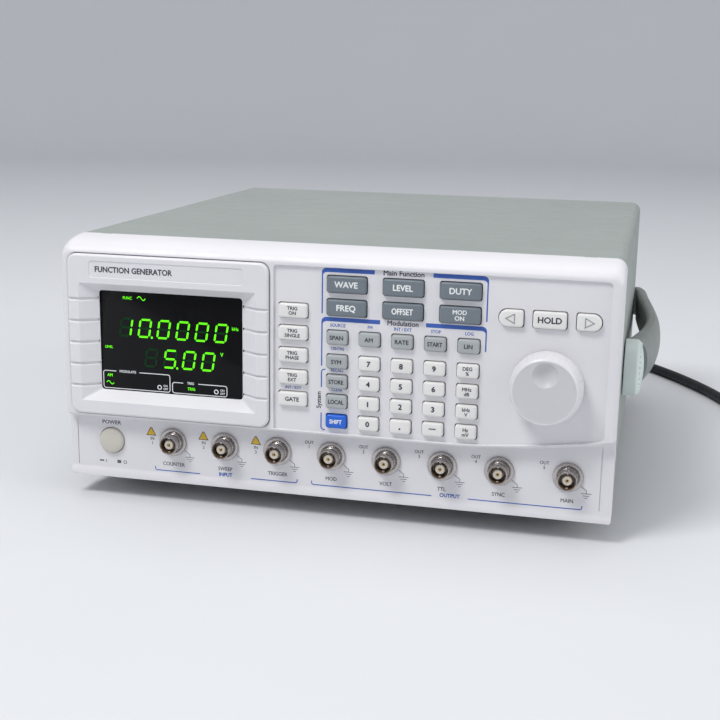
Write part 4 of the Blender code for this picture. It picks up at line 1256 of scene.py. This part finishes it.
def make_chassis():
    """Plated pan with turned-up sides and the rear panel: rounded vents, openings, slots in the floor."""
    (x0, x1), (front, rear), (z0, z1) = span("chassis")
    plate_y = rear - SHEET
    panel = rounded_rect(x0, x1, z0, z1, 5.0, 6)
    chassis = from_steps("chassis_pan", [prism(panel, plate_y, rear)], ["chassis"])
    floor = [(x0 + 1.4, z0), (x1 - 1.4, z0)] + arc(x1 - 1.4, z0 + 1.4, 1.4, -90, 0, 4) + [(x1, 30.0)]
    floor += [(x1 - SHEET, 30.0), (x1 - SHEET, z0 + SHEET), (x0 + SHEET, z0 + SHEET), (x0 + SHEET, 30.0)]
    floor += [(x0, 30.0)] + arc(x0 + 1.4, z0 + 1.4, 1.4, 180, 270, 4)[:-1]
    cut_steps(chassis, [prism(floor, front, rear - 0.4)], "UNION")
    openings = bmesh.new()
    through = (plate_y - 2.0, rear + 2.0)
    for i in range(8):
        vent = rounded_rect(-110.0 + 9.0 * i, -105.5 + 9.0 * i, 80.0, 118.0, 2.2, 5)
        stepped(openings, prism(vent, *through))
    for opening in ((80.0, 110.0, 16.0, 40.0), (14.0, 36.0, 22.0, 34.0)):
        hole = rounded_rect(*opening, 1.0, 3)
        stepped(openings, prism(hole, *through))
    for i in range(9):
        slot_y = 60.0 + 20.0 * i
        for side in (-1, 1):
            slot_x = (side * 75 - 22, side * 75 + 22)
            block(openings, slot_x, (slot_y, slot_y + 3.0), (z0 - 1, z0 + SHEET + 1))
    cut(chassis, openings)
    soften(chassis, 0.15)
    place(chassis, "case", "chassis", "chassis")


def make_front_board():
    """Board behind the front: display module, one switch under each key, and the knob's encoder."""
    (x0, x1), (_, back), (z0, z1) = span("front_board")
    front = back - 1.6
    bm = bmesh.new()
    outline = rounded_rect(x0, x1, z0, z1, 2.0, 4)
    stepped(bm, [(front, outline), (back, outline)])
    block(bm, (-124.0, -47.0), (-12.9, front + 0.3), (50.0, 102.0), 1, 0.8)
    for node in KEYS:
        _, left, right, low, high = key_cap(node)
        x, z = (left + right) / 2, (low + high) / 2
        block(bm, (x - 3.0, x + 3.0), (-11.2, front + 0.3), (z - 2.6, z + 2.6), 1, 0.3)
        plunger = [(0, 12.15), (1.4, 12.05), (1.6, 11.8), (1.6, 11.0), (0, 11.0)]
        turned(bm, plunger, at(x, 0, z), 16, "front", 2)
    x, z = centre("knob")
    block(bm, (x - 6.0, x + 6.0), (-14.0, front + 0.3), (z - 6.0, z + 6.0), 2, 0.5)
    shaft = [(0, 27.0), (2.5, 27.0), (3.0, 26.5), (3.0, 13.5), (0, 13.5)]
    turned(bm, shaft, at(x, 0, z), 24, "front", 2)
    place(to_object("front_board_assembly", bm, ["board", "black_plastic", "screw"]), "case", "board",
          "front_board")


# The main board's underside, and the middles of the two sockets in the rear panel as (x, z).
BOARD_Z = 10.0
INLET_AT = (95.0, 28.0)
SERIAL_AT = (25.0, 28.0)


def make_main_board():
    """Main board with transformer, heat sink, power switch, shield, mains inlet and serial port."""
    back = span("main_board")[1][1]
    panel_back = span("chassis")[1][1]
    z = BOARD_Z
    board = bmesh.new()
    block(board, (-132.0, 132.0), (8.0, 276.0), (z, z + 1.6), 0, 0.2)
    over = z + 1.6
    block(board, (-104.0, -66.0), (196.0, 244.0), (over, 62.0), 2, 2.0)
    for y0 in (190.0, 206.0, 222.0, 238.0):
        block(board, (-120.0, -50.0), (y0, y0 + 12.0), (over + 3, 66.0), 1, 0.6)
    for i in range(10):
        block(board, (-30.0 + 9.6 * i, -26.4 + 9.6 * i), (215.0, 240.0), (over, 52.0), 3, 0.4)
    block(board, (-30.0, 60.0), (215.0, 219.0), (over, 50.0), 3, 0.4)
    block(board, (-129.0, -113.0), (-0.9, 26.0), (over, 28.0), 4, 0.8)
    block(board, (20.0, 110.0), (40.0, 130.0), (over, 30.0), 5, 0.8)
    for i in range(6):
        spot = at(-100.0 + 24.0 * i, 160.0, over)
        turned(board, [(0, 20), (5.4, 20), (6, 19.4), (6, 0), (0, 0)], spot, 28, "up", 4)
    looks = ["board", "core", "tape", "heat_sink", "black_plastic", "chassis"]
    place(to_object("main_board_assembly", board, looks), "case", "board", "main_board")
    x, inlet_z = INLET_AT
    flange = rounded_rect(x - 25.0, x + 25.0, 14.0, inlet_z + 14.0, 4.0, 6)
    steps = prism(flange, panel_back + 0.3, panel_back + 1.4) + [(panel_back + 1.8, grown(flange, -0.5))]
    mains = from_steps("mains_inlet", [steps], ["black_plastic"])
    body = ((x - 14.6, x + 14.6), (262.0, panel_back + 1.0), (inlet_z - 11.6, inlet_z + 11.6))
    cut_blocks(mains, [body], "UNION")
    pocket = ((x - 12.4, x + 12.4), (panel_back - 13.0, panel_back + 6.0), (inlet_z - 8.4, inlet_z + 8.4))
    cut_blocks(mains, [pocket])
    soften(mains, 0.3)
    place(mains, "case", "board")
    shell = [(16.0, 23.2), (34.0, 23.2), (35.4, 31.4), (34.2, 32.8), (15.8, 32.8), (14.6, 31.4)]
    frame_plate = rounded_rect(10.4, 39.6, 21.6, 34.4, 1.5, 4)
    frame_steps = prism(frame_plate, panel_back + 0.05, panel_back + 0.7)
    looks = ["screw", "black_plastic", "contact"]
    port = from_steps("serial_port", [frame_steps, prism(shell, panel_back + 0.6, back)], looks)
    cut_steps(port, [prism(grown(shell, -0.6), panel_back + 1.4, back + 1.0)])
    soften(port, 0.15)
    place(port, "case", "board")
    insert = prism(grown(shell, -1.3), panel_back + 1.5, panel_back + 2.6)
    place(from_steps("serial_insert", [insert], ["black_plastic"]), "case", "board")
    pins = bmesh.new()
    for row, count in ((29.4, 5), (26.6, 4)):
        for i in range(count):
            pin_x = SERIAL_AT[0] + (i - (count - 1) / 2) * 2.77
            turned(pins, [(0, back - 0.8), (0.4, back - 1.0), (0.5, back - 1.4), (0.5, panel_back + 1.2),
                          (0, panel_back + 1.2)], at(pin_x, 0, row), 12, "back", 1)
    for side in (-12.5, 12.5):
        nut = [(0, panel_back + 3.6), (2.4, panel_back + 3.4), (2.7, panel_back + 3.0),
               (2.7, panel_back + 0.6), (0, panel_back + 0.6)]
        turned(pins, nut, at(SERIAL_AT[0] + side, 0, SERIAL_AT[1]), 6, "back")
    place(to_object("serial_pins", pins, ["screw", "contact"]), "case", "board")


def make_feet():
    """Rubber feet with a rounded tread and a recessed fixing hole."""
    for end in ("front", "rear"):
        for side in ("left", "right"):
            node = f"foot_{end}_{side}"
            (x0, x1), (y0, y1), (z0, z1) = span(node)
            radius = (x1 - x0) / 2
            profile = [(0, z1), (radius, z1), (radius, -1.2), (radius - 0.5, -1.9), (9.6, -3.0),
                       (9.0, z0 + 1.2), (8.7, z0 + 0.5), (8.0, z0 + 0.1), (7.6, z0), (4.6, z0),
                       (4.2, z0 + 0.4), (4.2, z0 + 5.0), (0, z0 + 5.0)]
            bm = bmesh.new()
            turned(bm, profile, at((x0 + x1) / 2, (y0 + y1) / 2, 0), 56, "up")
            place(to_object("tread_" + node, bm, ["rubber"]), "case", "rubber", node)


# ---------------------------------------------------------------- handle

# The crossbar's middle line, as (y, z).
BAR_AT = (302.0, 59.0)
# The inner side of the bend: straight lines that stay clear of the cover as the handle swings.
BAR_INSIDE = 294.0
NECK_FROM = 290.0
NECK_INSIDE = 145.6
STATIONS = (
    (155.4, 44.0, 9.4, 13.0),
    (157.4, 58.0, 11.3, 13.0),
    (159.8, 75.0, 11.0, 13.0),
    (162.4, 100.0, 9.8, 12.8),
    (163.7, 130.0, 8.8, 12.6),
    (163.0, 160.0, 8.5, 12.3),
    (160.4, 200.0, 8.5, 11.8),
    (157.4, 240.0, 8.8, 11.2),
    (155.4, 264.0, 8.4, 10.8),
    (154.6, 280.0, 7.8, 10.5),
    (152.6, 290.0, 7.2, 10.3),
    (150.4, 296.0, 5.6, 10.2),
    (146.0, 302.0, 10.4, 10.1),
    (134.0, 309.8, 16.4, 10.0),
    (112.0, 312.0, 18.0, 10.0),
    (60.0, 312.0, 18.0, 10.0),
)


def arm_shape():
    """The handle's section as (inward share, height share): flat inside, crowned outside, round edges."""
    shape = [(1.0, 0.55), (1.0, 0.78), (0.96, 0.88), (0.86, 0.95), (0.72, 0.99)]
    outer = []
    for i in range(1, 14):
        angle = math.radians(90 - 180 * i / 14)
        outer.append((0.62 - 0.62 * math.cos(angle) ** 0.8, math.sin(angle)))
    shape += outer
    return shape + [(0.72, -0.99), (0.86, -0.95), (0.96, -0.88), (1.0, -0.78), (1.0, -0.55)]


def arm_ring(station, heading, side):
    x, y, thick, half = station
    across = Vector((heading.y, -heading.x)).normalized()
    inner_x = x - across.x * thick
    inner_y = min(y - across.y * thick, BAR_INSIDE)
    if y > NECK_FROM:
        inner_x = min(inner_x, NECK_INSIDE)
    z = HUB_AT[1] + (BAR_AT[1] - HUB_AT[1]) * (y - HUB_AT[0]) / (BAR_AT[0] - HUB_AT[0])
    ring = []
    for inward, up in arm_shape():
        out_x = x + (inner_x - x) * inward
        out_y = y + (inner_y - y) * inward
        ring.append(at(side * out_x, out_y, z + half * up))
    return ring


def make_handle():
    """Bail handle in one moulding: two bowed arms and a crossbar, with an eye under each hub cap."""
    fine = spline(STATIONS, lambda b, c: 5)
    right, left = [], []
    for i, station in enumerate(fine):
        before, after = fine[max(i - 1, 0)], fine[min(i + 1, len(fine) - 1)]
        heading = Vector((after[0] - before[0], after[1] - before[1]))
        right.append(arm_ring(station, heading, 1))
        left.append(arm_ring(station, heading, -1))
    bm = bmesh.new()
    loft(bm, right + left[::-1])
    handle = to_object("bail_handle", bm, ["handle"])
    for side, sign in (("right", 1), ("left", -1)):
        pivot = at(0, *HUB_AT)
        cut_rod(handle, 15.3, 138, 170, pivot, 96, side)
        cut_rod(handle, 12.2, 145.8, 149.3, pivot, 64, side, "UNION")
        neck = (sorted((sign * 145.8, sign * 149.3)), (HUB_AT[0] + 6, HUB_AT[0] + 24),
                (HUB_AT[1] - 10.0, HUB_AT[1] + 9.6))
        cut_blocks(handle, [neck], "UNION")
        cut_rod(handle, 4.4, 138, 170, pivot, 32, side)
    soften(handle, 0.35)
    place(handle, "handle", "handle", "handle")


GRIP_DOTS = 28
DOT_RING = 12.9


def make_hubs():
    """Domed hub caps with a ring of small grip dots, each on its pin."""
    for side, sign in (("right", 1), ("left", -1)):
        node = "hub_" + side
        out = max(abs(v) for v in span(node)[0])
        dome = [(0, out), (4.0, out - 0.15), (8.0, out - 0.62), (11.0, out - 1.25), (13.0, out - 1.9),
                (14.2, out - 2.6), (14.8, out - 3.3), (15.0, out - 4.2)]
        skirt = [(15.0, 145.9), (14.7, 145.6), (12.6, 145.6), (12.6, 149.7), (4.0, 149.7), (4.0, 141.0),
                 (0, 141.0)]
        bm = bmesh.new()
        turned(bm, dome + skirt, at(0, *HUB_AT), 96, side)
        hub = to_object("cap_" + node, bm, ["hub"])
        slot = (sorted((sign * 140.0, sign * 149.7)), (HUB_AT[0] + 4.5, HUB_AT[0] + 24.0),
                (HUB_AT[1] - 10.4, HUB_AT[1] + 10.4))
        cut_blocks(hub, [slot])
        dots = bmesh.new()
        for y, z in circle(*HUB_AT, DOT_RING, GRIP_DOTS):
            spot = at(sign * (out - 2.0), y, z)
            bmesh.ops.create_uvsphere(dots, u_segments=10, v_segments=6, radius=0.7 * MM,
                                      matrix=Matrix.Translation(spot))
        hub.data.shade_smooth()
        hub.data.set_sharp_from_angle(angle=math.radians(34))
        place(hub, "handle", "hub", node)
        place(to_object(f"grip_dots_{side}", dots, ["hub"]), "handle", "hub")


# ---------------------------------------------------------------- stage


def make_stage():
    """A pale floor that sweeps up into a round wall far from the object, three soft lights and a sky."""
    bm = bmesh.new()
    rows = []
    profile = [(0.0, 0.0), (1.0, 0.0), (2.6, 0.0)]
    for i in range(1, 9):
        a = math.pi / 2 * i / 8
        profile.append((2.6 + 0.8 * math.sin(a), 0.8 - 0.8 * math.cos(a)))
    profile.append((3.4, 2.4))
    for radius, height in profile:
        count = 1 if radius == 0 else 64
        rows.append([bm.verts.new((x, y, height)) for x, y in circle(0, 0, radius, count)])
    for near, far in zip(rows, rows[1:]):
        for i in range(64):
            j = (i + 1) % 64
            corners = list(dict.fromkeys([near[i % len(near)], near[j % len(near)], far[j], far[i]]))
            bm.faces.new(corners)
    bmesh.ops.recalc_face_normals(bm, faces=bm.faces)
    floor = to_object("studio_floor", bm, ["floor"])
    aim = Vector((0.0, 0.0, 0.06))
    for name, spot, size, power in (
        ("key_light", (-0.75, -1.2, 1.95), 0.7, 29.0),
        ("top_light", (-0.1, 0.3, 2.0), 1.4, 9.0),
        ("right_fill", (1.9, -0.4, 1.0), 1.2, 12.0),
    ):
        data = bpy.data.lights.new(name, "AREA")
        data.size = size
        data.energy = power
        light = bpy.data.objects.new(name, data)
        light.location = spot
        light.rotation_euler = (aim - Vector(spot)).to_track_quat("-Z", "Y").to_euler()
        bpy.context.scene.collection.objects.link(light)
    world = bpy.data.worlds.new("studio_sky")
    world.use_nodes = True
    sky = world.node_tree.nodes["Background"]
    sky.inputs["Color"].default_value = (0.92, 0.95, 1.0, 1.0)
    sky.inputs["Strength"].default_value = 0.5
    bpy.context.scene.world = world
    bpy.context.scene.view_settings.view_transform = "Standard"


make_camera()
make_stage()
lead = make_lead()
connector = make_connector()
plug = make_plug()
make_front()
make_surround()
make_display()
for key in KEYS:
    make_key(key)
make_knob()
make_power_button()
make_sockets()
make_panel_print()
make_strip_print()
make_cover()
make_chassis()
make_back()
make_front_board()
make_main_board()
make_feet()
make_handle()
make_hubs()
